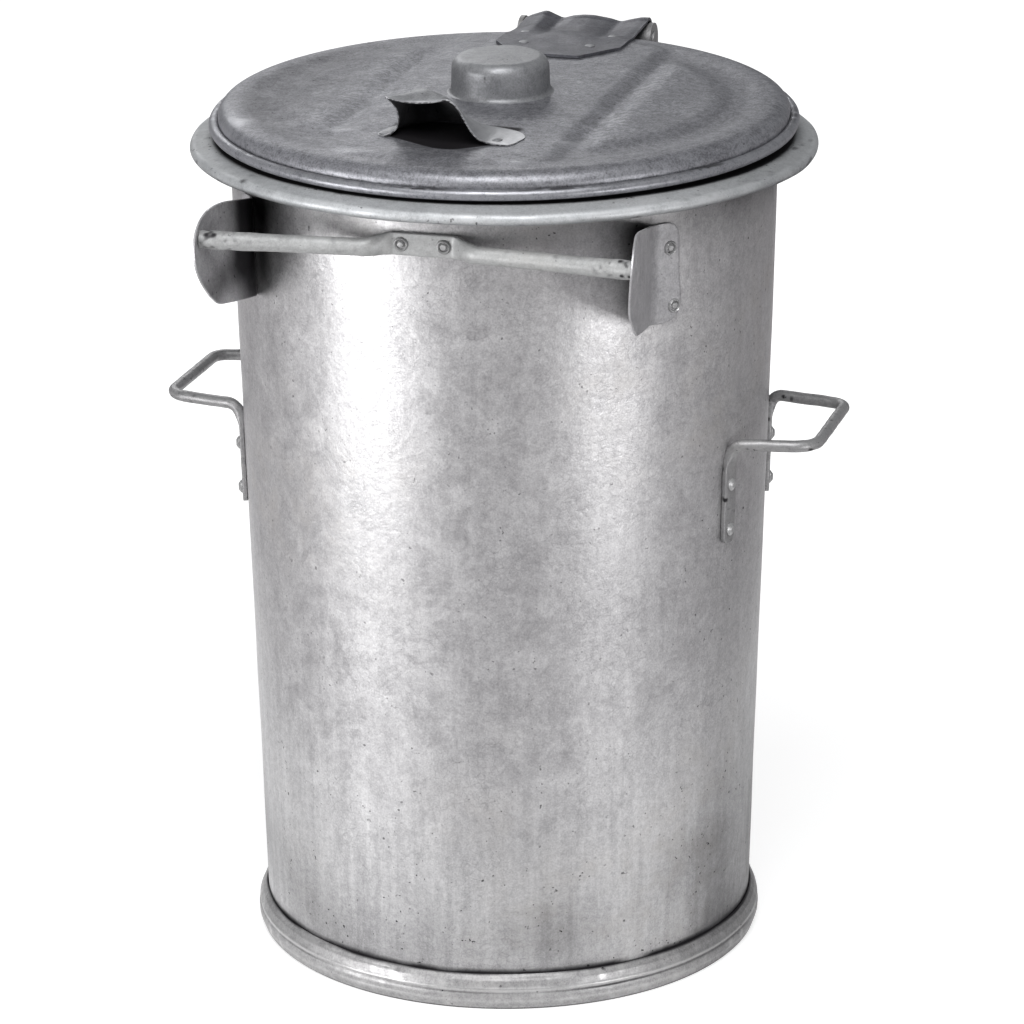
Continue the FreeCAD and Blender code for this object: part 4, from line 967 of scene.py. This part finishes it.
@dataclass
class Ear:
    """Stop plate of the tipping rod: a riveted flange, a bend and a dished, round-nosed plate.

    The outline is (distance in front of the bend, height above the rod), all round.
    """

    azimuth: float = 50.2
    height: float = 675.5
    bend: float = 45.2
    inner: float = 16.0
    sheet: float = 2.0
    flange_half: float = 14.0
    seat: float = 0.3
    body: Body = field(default_factory=Body)
    outline: tuple[tuple[float, float], ...] = (
        (-28, -4), (-26, 4), (-20, 8.3), (-13, 8.8), (0, 8.5), (15, 11.5), (31, 14.9), (45, 18),
        (56, 20.2), (68, 21.9), (77, 22.3), (86, 21.4), (93, 19.2), (99.5, 15.6), (105, 10.4),
        (109.3, 3.6), (112.2, -4), (113.4, -13), (112.6, -21), (110, -28), (105.6, -35.5),
        (99, -43), (91, -50.3), (83, -56.6), (77, -60.8), (72, -62.6), (66, -63.8), (45, -68),
        (20, -72.6), (0, -75.6), (-10, -76.6), (-19, -76), (-26, -72.4), (-30.4, -65),
        (-30.8, -54), (-28.6, -34))

    def fold(self, reach: np.ndarray, rise: np.ndarray, depth: np.ndarray) -> np.ndarray:
        """Fold flat sheet coordinates about the bend and stand them on the wall.

        Up to the bend the sheet is flat on the wall. Over it, the angle grows evenly to the bend's
        angle about an axis on the outer side, and beyond it the sheet is flat again.

        Args:
            reach: distance in front of the bend's corner, negative on the flange.
            rise: height above the rod.
            depth: distance outward from the sheet's inner face.

        Returns:
            Points in the bin's frame, for the right side.
        """
        angle, radius = math.radians(self.bend), self.inner + self.sheet
        run = radius * math.tan(angle / 2)
        swing = np.clip((reach + run) / (2 * run), 0, 1) * angle
        beyond, before = np.maximum(reach - run, 0), np.maximum(-reach - run, 0)
        arm = radius - depth
        x = run - arm * np.sin(swing) - beyond * math.cos(angle) + before
        z = radius - arm * np.cos(swing) + beyond * math.sin(angle)
        az = math.radians(self.azimuth)
        lean = math.atan(self.body.taper)
        out = np.array([math.sin(az), -math.cos(az), -math.tan(lean)]) * math.cos(lean)
        rear = np.array([math.cos(az), math.sin(az), 0.0])
        up = np.cross(out, rear)
        foot = np.array([math.sin(az), -math.cos(az), 0]) * self.body.radius(self.height)
        base = foot + np.array([0, 0, self.height]) + out * self.seat
        return (base + (x - self.flange_half)[..., None] * rear
                + z[..., None] * out + rise[..., None] * up)

    def rivets(self, sign: int) -> list[tuple[np.ndarray, np.ndarray]]:
        """Points and normals of the two rivets on the flange's outer face."""
        spots = []
        for reach, rise in ((-18.6, -12.9), (-23.6, -62.6)):
            low, high = (self.fold(np.array(reach), np.array(rise), np.array(depth)) * [sign, 1, 1]
                         for depth in (self.sheet - 0.1, self.sheet + 0.9))
            spots.append((low, high - low))
        return spots

    def build(self, sign: int, name: str) -> bpy.types.Object:
        """Rings shrunk from the outline to its middle, on both faces, with a dish round the rod.

        Args:
            sign: 1 for the right ear, -1 for the left one.
            name: the piece's name.

        Returns:
            The closed ear.
        """
        edge = through(list(self.outline), 220, closed=True, soft=4)
        middle = np.array([42.0, -24.0])
        share = np.concatenate([np.linspace(0.02, 0.97, 42), [0.99, 1.0]])
        share = np.concatenate([share, [1.0], share[::-1]])
        flat = middle + share[:, None, None] * (edge - middle)
        rows = len(share)
        depth = np.where(np.arange(rows) < rows // 2, self.sheet, 0.0)
        depth[rows // 2] = self.sheet / 2
        inset = np.where(share > 0.995, 0.35, 0.0)
        depth = depth + np.where(np.arange(rows) < rows // 2, -inset, inset)
        reach, rise = flat[..., 0], flat[..., 1]
        around = np.hypot(reach - 93, rise + 4)
        press = 3.4 * hill(around, 24) - 1.2 * hill(around - 34, 12) * smooth(20, 60, reach)
        press = press + 0.8 * hill(rise + 40, 24) * smooth(10, 50, reach)
        wave = 0.5 * swell(np.stack([reach, rise, 0 * rise], axis=-1), 60, 81 + sign)
        grid = self.fold(reach, rise, depth[:, None] + (press + wave) * smooth(6, 30, reach))
        rim = smooth(0.985, 1.0, share)[:, None] + 0 * reach
        lumps = hill(np.hypot(reach - 95, rise), 13) * (0.5 + swell(grid, 9, 83))
        inner = depth[:, None] < self.sheet / 2
        # Painted shade: the inner face darkest near the bend and along a sloping band below the
        # rod, and the outer plate a little darker than the flange.
        root = smooth(58, 10, reach) * smooth(-2, 6, reach) * (0.55 + 0.35 * hill(rise - 6, 34))
        root = root + 0.34 * hill(rise + 30 + 0.2 * reach, 19) * smooth(2, 20, reach) + 0.16
        dark = np.where(inner, 2.4 * root, 0.16 * hill(reach - 22, 16))
        grid = grid * [sign, 1, 1]
        return Surface(name, grid, caps=(True, True),
                       marks={"wear_and_light": 0.4 * rim * (reach > 4) + np.clip(lumps, 0, 1) * 0.6,
                              "grime_and_shade": dark * 0.5 * (1 - rim)}).build()


@dataclass
class Grip:
    """Pressed hood on the lid's front: open to the front, with flared lips and two flat feet.

    Each station is a curve across the hood, (x, y, height over the lid), from its front edge back.
    """

    lid: LidForm = field(default_factory=LidForm)
    sheet: float = 1.5
    stations: tuple[tuple[tuple[float, float, float], ...], ...] = (
        ((-63.5, -150, 0.8), (-61.4, -156, 0.8), (-56, -159, 1.2), (-51.4, -156, 2.6),
         (-47.6, -151, 6.5), (-46.2, -150.4, 14), (-46.6, -153, 22), (-49.6, -157, 29),
         (-55.6, -159.5, 35), (-46.4, -160.5, 33.2), (-38.4, -161, 31.8), (-28, -161, 31.6),
         (-17, -160.6, 32.6), (-8.4, -160, 34.2), (-2.4, -159, 36), (5.4, -158.6, 31.6),
         (10.2, -158.2, 24.4), (15.4, -158, 15), (19.8, -158.4, 8), (25, -158.8, 3.6),
         (32, -159.4, 1.6), (41, -161.4, 1.0), (50, -161.4, 0.9), (54.4, -155, 0.9),
         (56, -146.5, 0.9)),
        ((-62, -143, 0.8), (-59, -144, 0.8), (-55.4, -144.4, 1.2), (-51, -143.6, 3.0),
         (-47.4, -142, 8), (-46, -141, 15), (-45.2, -141, 22), (-44.2, -141, 27.4),
         (-42, -141, 31), (-39, -141, 33.6), (-35.2, -141, 34.9), (-30.6, -141, 35.7),
         (-25, -141, 35.5), (-19, -141, 34.6), (-12.8, -141, 33.4), (-6.6, -141.4, 31.4),
         (0.6, -141.8, 27), (8, -142.4, 18.6), (14.6, -143, 10.6), (21.6, -143.8, 5.2),
         (30.6, -144.6, 2.2), (41, -145, 1.1), (50, -143.6, 0.9), (55, -141, 0.9),
         (57.4, -137, 0.9)),
        ((-57, -130, 1), (-54, -130.6, 1), (-51, -131, 1.4), (-47.4, -131, 3.6),
         (-46.2833, -130.4, 9), (-47.15, -130, 15.4), (-46, -130, 20.651), (-44.4, -130, 25.669),
         (-42, -130, 29.915), (-39, -130, 32.617), (-35.6, -130, 33.775), (-31.6, -130, 33.8715),
         (-26, -130, 33.389), (-19.8, -130, 30.88), (-13.6, -130, 27.599), (-7.6, -130, 23.739),
         (-1.6, -130, 19.8), (5.48333, -130, 13.4), (14.5, -130, 7.6), (23, -130.4, 3.8),
         (31, -131, 1.9), (39.4, -131, 1.2), (46, -130.4, 1), (50.4, -129, 1), (53, -127, 1)),
        ((-46, -116, 0.6), (-43.4, -115, 0.7), (-40.8, -114, 1), (-38, -113.2, 2.4),
         (-36.2667, -112.6, 5), (-36.2667, -112.2, 8), (-36.2667, -112, 11), (-35.8, -112, 13.6),
         (-34.8667, -112, 15.8), (-32.4, -112, 17.4), (-29.6, -112, 18.2), (-26.4, -112, 18.4),
         (-23, -112, 18), (-19.4, -112, 16.8), (-14.6, -112, 14.8), (-8.46667, -112, 12.2),
         (-1.86667, -112, 9.2), (5.13333, -112.2, 6.2), (12, -112.6, 3.6), (18, -113, 1.8),
         (24.4, -113.6, 1), (31, -114.4, 0.7), (36.4, -115.4, 0.6), (40.6, -116.6, 0.6),
         (44, -118, 0.6)),
        ((-32, -107, -1), (-30.4, -105.6, -1), (-28.8, -104.4, -1), (-27, -103.4, -1),
         (-25.4, -102.6, -1), (-23.8, -102, -1), (-22.2, -101.6, -1), (-20.6, -101.2, -1),
         (-19, -101, -1), (-17.2, -100.8, -1), (-15.4, -100.6, -1), (-13.4, -100.6, -1),
         (-11.2, -100.6, -1), (-8.8, -100.6, -1), (-6, -100.8, -1), (-3, -101, -1),
         (0.4, -101.2, -1), (4, -101.6, -1), (8, -102.2, -1), (12.4, -103, -1), (17, -104, -1),
         (21.6, -105.2, -1), (25.6, -106.6, -1), (28.8, -108, -1), (31, -109.4, -1)))

    def rivets(self) -> list[tuple[np.ndarray, np.ndarray]]:
        """Points and normals of the rivets on the two feet."""
        return self.lid.sites(((-57.0, -151.0), (37.5, -150.0)), 0.8)

    def build(self) -> bpy.types.Object:
        """The sheet through five station curves, on the lid's top, with its thickness.

        Returns:
            The closed grip.
        """
        curves = np.stack([through(list(curve), 150, soft=5) for curve in self.stations])
        grid = woven(curves, 64)
        x, y = grid[..., 0], grid[..., 1]
        wave = 0.25 * swell(grid, 22, 91) * smooth(2, 9, grid[..., 2])
        grid[..., 2] += self.lid.level(x, y) + wave
        front = 1 - smooth(0, 0.05, np.linspace(0, 1, 64))[:, None] + 0 * x
        sides = np.abs(np.linspace(-1, 1, 150))[None] + 0 * x
        rim = np.maximum(front, smooth(0.985, 1.0, sides))
        # Painted light: the right half of the hood lighter, as a lit side; the lips and patches are
        # wear.
        wear_and_light = 0.7 * rim + 0.25 * patches(grid, 15, 92) + 0.8 * smooth(-4, 12, x)
        marks = {"wear_and_light": wear_and_light, "grime_and_shade": 0 * wear_and_light, "scuff": 0.5 * patches(grid, 20, 93)}
        sheet = Surface("lid_hood", self.lid.lean(grid), marks=marks)
        # The hood's under skin takes painted shade, dark as if in shadow.
        return sheet.doubled(-self.sheet, 0.75).build()


@dataclass
class Strap:
    """Hinge strap: a buckled plate with cut front corners that rolls round the pin's sleeve."""

    lid: LidForm = field(default_factory=LidForm)
    half: float = 57.0
    sheet: float = 2.5
    gap: float = 0.35
    front: float = 128.0
    corner: float = 27.0
    corner_run: float = 42.0
    pin: tuple[float, float] = (268.0, 737.0)
    barrel: float = 16.4

    def rivets(self) -> list[tuple[np.ndarray, np.ndarray]]:
        """Points and normals of the four low rivet heads on the plate."""
        places = ((-30, 166), (30, 166), (-40, 207), (40, 207))
        return self.lid.sites(places, self.gap + self.sheet)

    def build(self) -> bpy.types.Object:
        """A plate that follows the lid, rises onto the barrel and wraps it, for each x in turn.

        The side view is a line of points from the front edge to the barrel's top and 290 degrees
        of circle. Its height over the lid swells and dips with x, most near the barrel's front.

        Returns:
            The closed strap.
        """
        x = np.linspace(-self.half + 0.5, self.half, 130)
        side = np.abs(x)
        start = self.front + self.corner_run * np.clip(
            (side - self.half + self.corner) / self.corner, 0, 1)
        t = np.linspace(0, 1, 90)[:, None]
        lay = start + (236 - start) * t
        deck = self.lid.top(x + 0 * t, np.minimum(lay, 222)) + self.gap + self.sheet
        flat = np.stack([x + 0 * t, lay, deck], axis=-1)
        flat = self.lid.lean(flat)
        lift = np.interp(x, [-57, -54, -38, -23, -14, -4, 5, 21, 30, 40, 50, 57],
                         [-3.4, -1, 4.6, -2, 1, 2.4, 2.6, 0.4, -2.2, 0.6, 3, 3.1])
        lift = np.convolve(np.pad(lift, 3, mode="edge"), np.ones(7) / 7, mode="valid")
        buckle = smooth(0.5, 1.0, t)
        flat[..., 2] += 0.8 * lift * buckle + 1.8 * hill(t - 0.6, 0.18) * hill(x - 5, 30)
        flat[..., 2] += 0.35 * swell(flat, 45, 101) * smooth(0.1, 0.5, t)
        angle = np.radians(np.linspace(112, -178, 60))[:, None]
        wide = self.barrel + 0 * x
        roll = np.stack([x + 0 * angle, self.pin[0] + wide * np.cos(angle),
                         self.pin[1] + wide * np.sin(angle)], axis=-1)
        roll[..., 2] += lift * hill(angle - np.radians(88), 0.95)
        bridge = woven(np.stack([flat[-12], flat[-1], roll[0], roll[8]]), 46)[15:31]
        grid = np.concatenate([flat[:-1], bridge, roll[1:]])
        rows = len(grid)
        edge = smooth(0.965, 1.0, side / self.half)[None] * np.ones((rows, 1))
        lip = smooth(3, 0, np.arange(rows))[:, None] + 0 * x
        wear_and_light = 0.35 * np.maximum(edge, lip) + 0.2 * patches(grid, 30, 102)
        marks = {"wear_and_light": wear_and_light, "grime_and_shade": 0.2 * hill(np.arange(rows) - 84, 9)[:, None] + 0 * x,
                 "scuff": 0.3 * patches(grid, 26, 103)}
        return Surface("hinge_leaf", grid, marks=marks).doubled(-self.sheet).build()


@dataclass(frozen=True)
class RivetForm:
    """A rivet head turned about its own axis: a dome, or a dished ring with a boss in it."""

    radius: float
    height: float
    dished: bool

    def section(self) -> np.ndarray:
        """Radii and heights from the middle to the foot of the head."""
        t = np.linspace(0.04, 1, 26)
        if self.dished:
            height = self.height * (0.7 * smooth(0.52, 0.34, t) + 0.85 * hill(t - 0.82, 0.14))
            height = height * smooth(1.1, 0.86, t)
        else:
            height = self.height * np.sqrt(np.clip(1 - t ** 2.6, 0, 1))
        return np.vstack([np.stack([t * self.radius, height], axis=1), [self.radius, -1.5]])

    def at(self, name: str, places: list[tuple[np.ndarray, np.ndarray]]) -> bpy.types.Object:
        """Heads at points, each square to a normal.

        Args:
            name: the group's name.
            places: (point, normal) pairs.

        Returns:
            One object with every head.
        """
        heads = []
        section = self.section()
        a = np.arange(24) * FULL / 24
        local = np.stack([section[:, :1] * np.cos(a), section[:, :1] * np.sin(a),
                          section[:, 1:] + 0 * a], axis=-1)
        share = section[:, :1] / self.radius + 0 * a
        wear_and_light = 0.5 * hill(share - 0.8, 0.16)
        # Painted shade: the well of a dished head and the foot of every head darker.
        dark = (0.7 if self.dished else 0.0) * hill(share - 0.58, 0.09)
        dark = dark + 0.6 * smooth(0.93, 1.0, share)
        for index, (point, normal) in enumerate(places):
            turn = np.array(Vector(normal).to_track_quat("Z", "Y").to_matrix())
            grid = local @ turn.T + point
            grid += 0.18 * swell(grid, 7, 70 + index)[..., None] * normal
            heads.append(Surface(f"{name}_{index}", grid, caps=(True, True),
                                 marks={"wear_and_light": wear_and_light, "grime_and_shade": dark}).build())
        return joined(name, heads)


# ------------------------------------------------------------------ studio


@dataclass(frozen=True)
class Lamp:
    """A rectangular soft lamp: azimuth from the camera's side in degrees, metres and watts."""

    name: str
    angle: float
    height: float
    distance: float
    power: float
    size: tuple[float, float]


@dataclass
class Studio:
    """Pale floor, soft lamps and the camera.

    The floor is white where the camera sees it: a wedge whose half width is spread times the
    distance from the camera, from reach metres in front of the bin's axis, with edges that fade.
    Within it, the white grows from near to far with the distance from the bin, over the margin.
    The returned colours say how much of the lamps' light the floor sends back.
    """

    distance: float = 3739.1
    eye: float = 1640.3
    turn: float = 16.3
    yaw: float = 0.073
    pitch: float = 18.729
    roll: float = -0.325
    lens: float = 159.43
    spread: float = 0.125
    reach: float = 0.62
    fade: float = 0.3
    margin: tuple[float, float] = (0.25, 1.6)
    near: tuple[float, ...] = (0.74, 0.74, 0.74, 1)
    far: tuple[float, ...] = (0.97, 0.97, 0.97, 1)
    outside: tuple[float, ...] = (0.345, 0.33, 0.34, 1)
    returned: tuple[float, ...] = (0.45, 0.45, 0.45, 1)
    returned_outside: tuple[float, ...] = (0.12, 0.12, 0.12, 1)
    target: tuple[float, float, float] = (0, 0, 0.4)
    lamps: tuple[Lamp, ...] = (
        Lamp("key", -56, 0.46, 2.2, 30, (0.9, 0.9)),
        Lamp("fill", 42, 0.36, 2.4, 15, (0.36, 0.7)),
        Lamp("top", -2, 3.2, 1.9, 80, (1.7, 1.7)),
        Lamp("rear", -165, 2.2, 3.0, 22, (2.0, 1.0)))

    def floor(self) -> bpy.types.Object:
        """A wide plain floor that shows white, with the bin's soft shadow.

        Returns:
            The floor object.
        """
        mesh = bpy.data.meshes.new("studio_floor")
        size = 30.0
        mesh.from_pydata([(-size, -size, 0), (size, -size, 0), (size, size, 0), (-size, size, 0)],
                         [], [(0, 1, 2, 3)])
        item = bpy.data.objects.new("studio_floor", mesh)
        bpy.context.scene.collection.objects.link(item)
        board = Board("floor_white")
        path = board.tree.nodes.new("ShaderNodeLightPath")
        seen = (Signal(board, path.outputs["Is Camera Ray"])
                + Signal(board, path.outputs["Is Glossy Ray"])
                + Signal(board, path.outputs["Is Transmission Ray"])).step(0, 1)
        plain = board.node("ShaderNodeBsdfDiffuse", {}, {"Color": (0.4, 0.4, 0.4, 1)})
        away = board.node("ShaderNodeVectorMath", {"operation": "LENGTH"}, {0: board.place},
                          "Value")
        turn = math.radians(self.turn)
        across = board.along((math.cos(turn), math.sin(turn), 0))
        behind = board.along((-math.sin(turn), math.cos(turn), 0))
        aside = (across * across) ** 0.5 - (behind + self.distance * MM) * self.spread
        beyond = 1 - (1 - aside.step(0.0, self.fade)) * (behind + self.reach).step(0.0, self.fade)
        tint = board.blend(away.step(*self.margin), self.near, self.far)
        tint = board.blend(beyond, tint, self.outside)
        glow = board.node("ShaderNodeEmission", {}, {"Color": tint, "Strength": 1.0})
        grain = board.blend(beyond, self.returned, self.returned_outside)
        soft = board.node("ShaderNodeBsdfDiffuse", {}, {"Color": grain})
        white = board.node("ShaderNodeAddShader", {}, {0: soft, 1: glow})
        item.data.materials.append(board.finish(
            board.node("ShaderNodeMixShader", {}, {0: seen, 1: plain, 2: white})))
        return item

    def light(self, lamp: Lamp) -> None:
        """Put a lamp in its place, facing the bin's middle."""
        light = bpy.data.lights.new(lamp.name, "AREA")
        light.shape = "RECTANGLE"
        light.size, light.size_y = lamp.size
        light.energy = lamp.power
        item = bpy.data.objects.new(lamp.name, light)
        bpy.context.scene.collection.objects.link(item)
        a = math.radians(lamp.angle + self.turn)
        spot = Vector((lamp.distance * math.sin(a), -lamp.distance * math.cos(a), lamp.height))
        item.location = spot
        item.rotation_euler = (Vector(self.target) - spot).to_track_quat("-Z", "Y").to_euler()

    def sky(self) -> None:
        """A plain grey room all round."""
        world = bpy.data.worlds.new("room")
        world.use_nodes = True
        back = world.node_tree.nodes["Background"]
        back.inputs["Color"].default_value = (0.9, 0.92, 0.95, 1)
        back.inputs["Strength"].default_value = 0.2
        bpy.context.scene.world = world

    def camera(self) -> None:
        """The camera, with its axes worked out from yaw, pitch and roll."""
        yaw, pitch, roll, turn = (math.radians(v) for v in
                                  (self.yaw, self.pitch, self.roll, self.turn))
        ahead = Vector((math.sin(yaw) * math.cos(pitch), math.cos(yaw) * math.cos(pitch),
                        -math.sin(pitch)))
        right = Vector((math.cos(yaw), -math.sin(yaw), 0))
        up = right.cross(ahead)
        right, up = (right * math.cos(roll) + up * math.sin(roll),
                     up * math.cos(roll) - right * math.sin(roll))
        matrix = Matrix((right, up, -ahead)).transposed().to_4x4()
        matrix.translation = Vector((0, -self.distance, self.eye)) * MM
        data = bpy.data.cameras.new("view")
        data.lens = self.lens
        data.sensor_width = 36.0
        data.clip_end = 200
        item = bpy.data.objects.new("view", data)
        bpy.context.scene.collection.objects.link(item)
        item.matrix_world = Matrix.Rotation(turn, 4, "Z") @ matrix
        bpy.context.scene.camera = item

    def build(self) -> None:
        """Set everything up."""
        self.floor()
        for lamp in self.lamps:
            self.light(lamp)
        self.sky()
        self.camera()
        bpy.context.scene.view_settings.view_transform = "Standard"


# ------------------------------------------------------------------ assembly


FINISHES = (
    Zinc("wall_zinc_finish", (0.33, 0.325, 0.335), (0.765, 0.76, 0.765), metallic=0.75,
         roughness=0.43, streaks=0.7, cracks=0.17, warm=(0.46, 0.43, 0.40), stains=0.4,
         contrast=0.85, grain=1.2),
    Zinc("foot_zinc_finish", (0.21, 0.205, 0.21), (0.51, 0.505, 0.507), metallic=0.65,
         cracks=0.08, stains=0.3, contrast=1.1),
    Zinc("rim_zinc_finish", (0.30, 0.31, 0.32), (0.62, 0.635, 0.65), metallic=0.35,
         cracks=0.08, roughness=0.56, stains=0.15),
    Zinc("lid_zinc_finish", (0.105, 0.105, 0.118), (0.315, 0.318, 0.342), scuffs=2.2,
         cracks=0.06, roughness=0.5, stains=0.1, warm=(0.17, 0.165, 0.165),
         contrast=0.62, grain=3.4, lumps=0.15),
    Zinc("cap_zinc_finish", (0.135, 0.137, 0.145), (0.38, 0.385, 0.40), scuffs=1.0,
         cracks=0.05, roughness=0.5, stains=0.1, warm=(0.19, 0.185, 0.18)),
    Zinc("strap_zinc_finish", (0.05, 0.05, 0.06), (0.165, 0.167, 0.187), scuffs=1.0,
         cracks=0.05, roughness=0.52, stains=0.1, warm=(0.13, 0.125, 0.12), grain=1.5),
    Zinc("fitting_zinc_finish", (0.185, 0.183, 0.188), (0.40, 0.397, 0.40), metallic=0.5,
         cracks=0.05, roughness=0.5, stains=0.2, lumps=0.8),
    Zinc("ear_zinc_finish", (0.25, 0.245, 0.258), (0.56, 0.555, 0.567), metallic=0.5,
         cracks=0.0, roughness=0.48, stains=0.1, streaks=0.9, contrast=1.2, lumps=0.6),
    Zinc("rivet_zinc_finish", (0.25, 0.25, 0.255), (0.56, 0.56, 0.56), metallic=0.5,
         cracks=0.0, roughness=0.42, stains=0.1),
    Zinc("rod_zinc_finish", (0.235, 0.235, 0.235), (0.47, 0.475, 0.475), metallic=0.3,
         cracks=0.1, roughness=0.55, stains=0.12, warm=(0.36, 0.30, 0.22), lumps=0.8),
)


class Dresser:
    """Puts finishes on pieces and ties each to its body and to the nodes that it stands for."""

    def __init__(self) -> None:
        """Build the finishes."""
        self.finishes = {item.name: item.build() for item in FINISHES}

    def paint(self, item: bpy.types.Object, finish: str) -> None:
        """Give a piece its finish."""
        item.data.materials.clear()
        item.data.materials.append(self.finishes[finish])

    def piece(self, item: bpy.types.Object, part: Part, finish: str, slot: str,
              *nodes: str) -> None:
        """Dress a new piece.

        Args:
            item: the piece.
            part: the body it rides on.
            finish: its finish.
            slot: the name of a material slot; not used.
            nodes: the nodes it stands for.
        """
        self.paint(item, finish)
        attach(item, part.value)
        if nodes:
            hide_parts(*nodes)
        LOG.info("piece %s: %d faces", item.name, len(item.data.polygons))

    def node(self, name: str, finish: str) -> None:
        """Dress a node that stays as it is."""
        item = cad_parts[name]
        for number in range(len(item.material_slots)):
            item.material_slots[number].link = "OBJECT"
            item.material_slots[number].material = self.finishes[finish]
        LOG.info("node %s", name)


def main() -> None:
    """Build and dress the bin, then the studio."""
    dresser = Dresser()
    body = Body()
    dresser.piece(body.wall(), Part.BIN, "wall_zinc_finish", "wall_zinc", "body_shell")
    dresser.piece(body.foot(), Part.BIN, "foot_zinc_finish", "fitting_zinc", "foot_ring")
    dresser.piece(body.rim(), Part.BIN, "rim_zinc_finish", "rim_zinc", "rim_collar")
    lid = LidForm()
    dresser.piece(lid.shell(), Part.LID, "lid_zinc_finish", "lid_zinc", "lid_shell")
    dresser.piece(lid.knob(), Part.LID, "cap_zinc_finish", "lid_zinc", "lid_knob")
    grip, strap = Grip(), Strap()
    dresser.piece(grip.build(), Part.LID, "cap_zinc_finish", "lid_zinc", "lid_grip")
    dresser.piece(strap.build(), Part.LID, "strap_zinc_finish", "lid_zinc", "hinge_strap")
    dresser.piece(Rod().build(), Part.BIN, "rod_zinc_finish", "fitting_zinc", "tipping_rod")
    dished = RivetForm(6.1, 2.4, True)
    front = np.array([0.0, -1.0, 0.0])
    dresser.piece(dished.at("bar_rivets", [(np.array([x, -236.9, 675.5]), front)
                                           for x in (-18.0, 18.0)]),
                  Part.BIN, "rivet_zinc_finish", "rivet_zinc", "tipping_rod_rivets")
    dresser.piece(RivetForm(5.0, 1.6, False).at("hood_rivets", grip.rivets()), Part.LID,
                  "cap_zinc_finish", "rivet_zinc", "grip_rivets")
    dresser.piece(RivetForm(4.6, 1.5, False).at("leaf_rivets", strap.rivets()), Part.LID,
                  "cap_zinc_finish", "rivet_zinc", "hinge_strap_rivets")
    for side, sign in (("right", 1), ("left", -1)):
        dresser.piece(Handle().build(sign, f"grab_{side}"), Part.BIN, "fitting_zinc_finish",
                      "fitting_zinc", f"handle_{side}")
        ear = Ear()
        dresser.piece(ear.build(sign, f"stop_{side}"), Part.BIN, "ear_zinc_finish",
                      "fitting_zinc", f"ear_{side}")
        dresser.piece(dished.at(f"stop_rivets_{side}", ear.rivets(sign)), Part.BIN,
                      "rivet_zinc_finish", "rivet_zinc", f"ear_rivets_{side}")
    for finish, names in (
            ("wall_zinc_finish", ("rim_wire", "bottom_pan", "lid_wire")),
            ("fitting_zinc_finish", ("hinge_bracket", "hinge_pin", "hinge_sleeve")),
            ("rivet_zinc_finish",
             ("handle_rivets_right", "handle_rivets_left", "hinge_bracket_rivets"))):
        for name in names:
            dresser.node(name, finish)
    Studio().build()


if __name__ == "__main__":
    logging.basicConfig(level=logging.INFO, format="%(message)s")
    main()
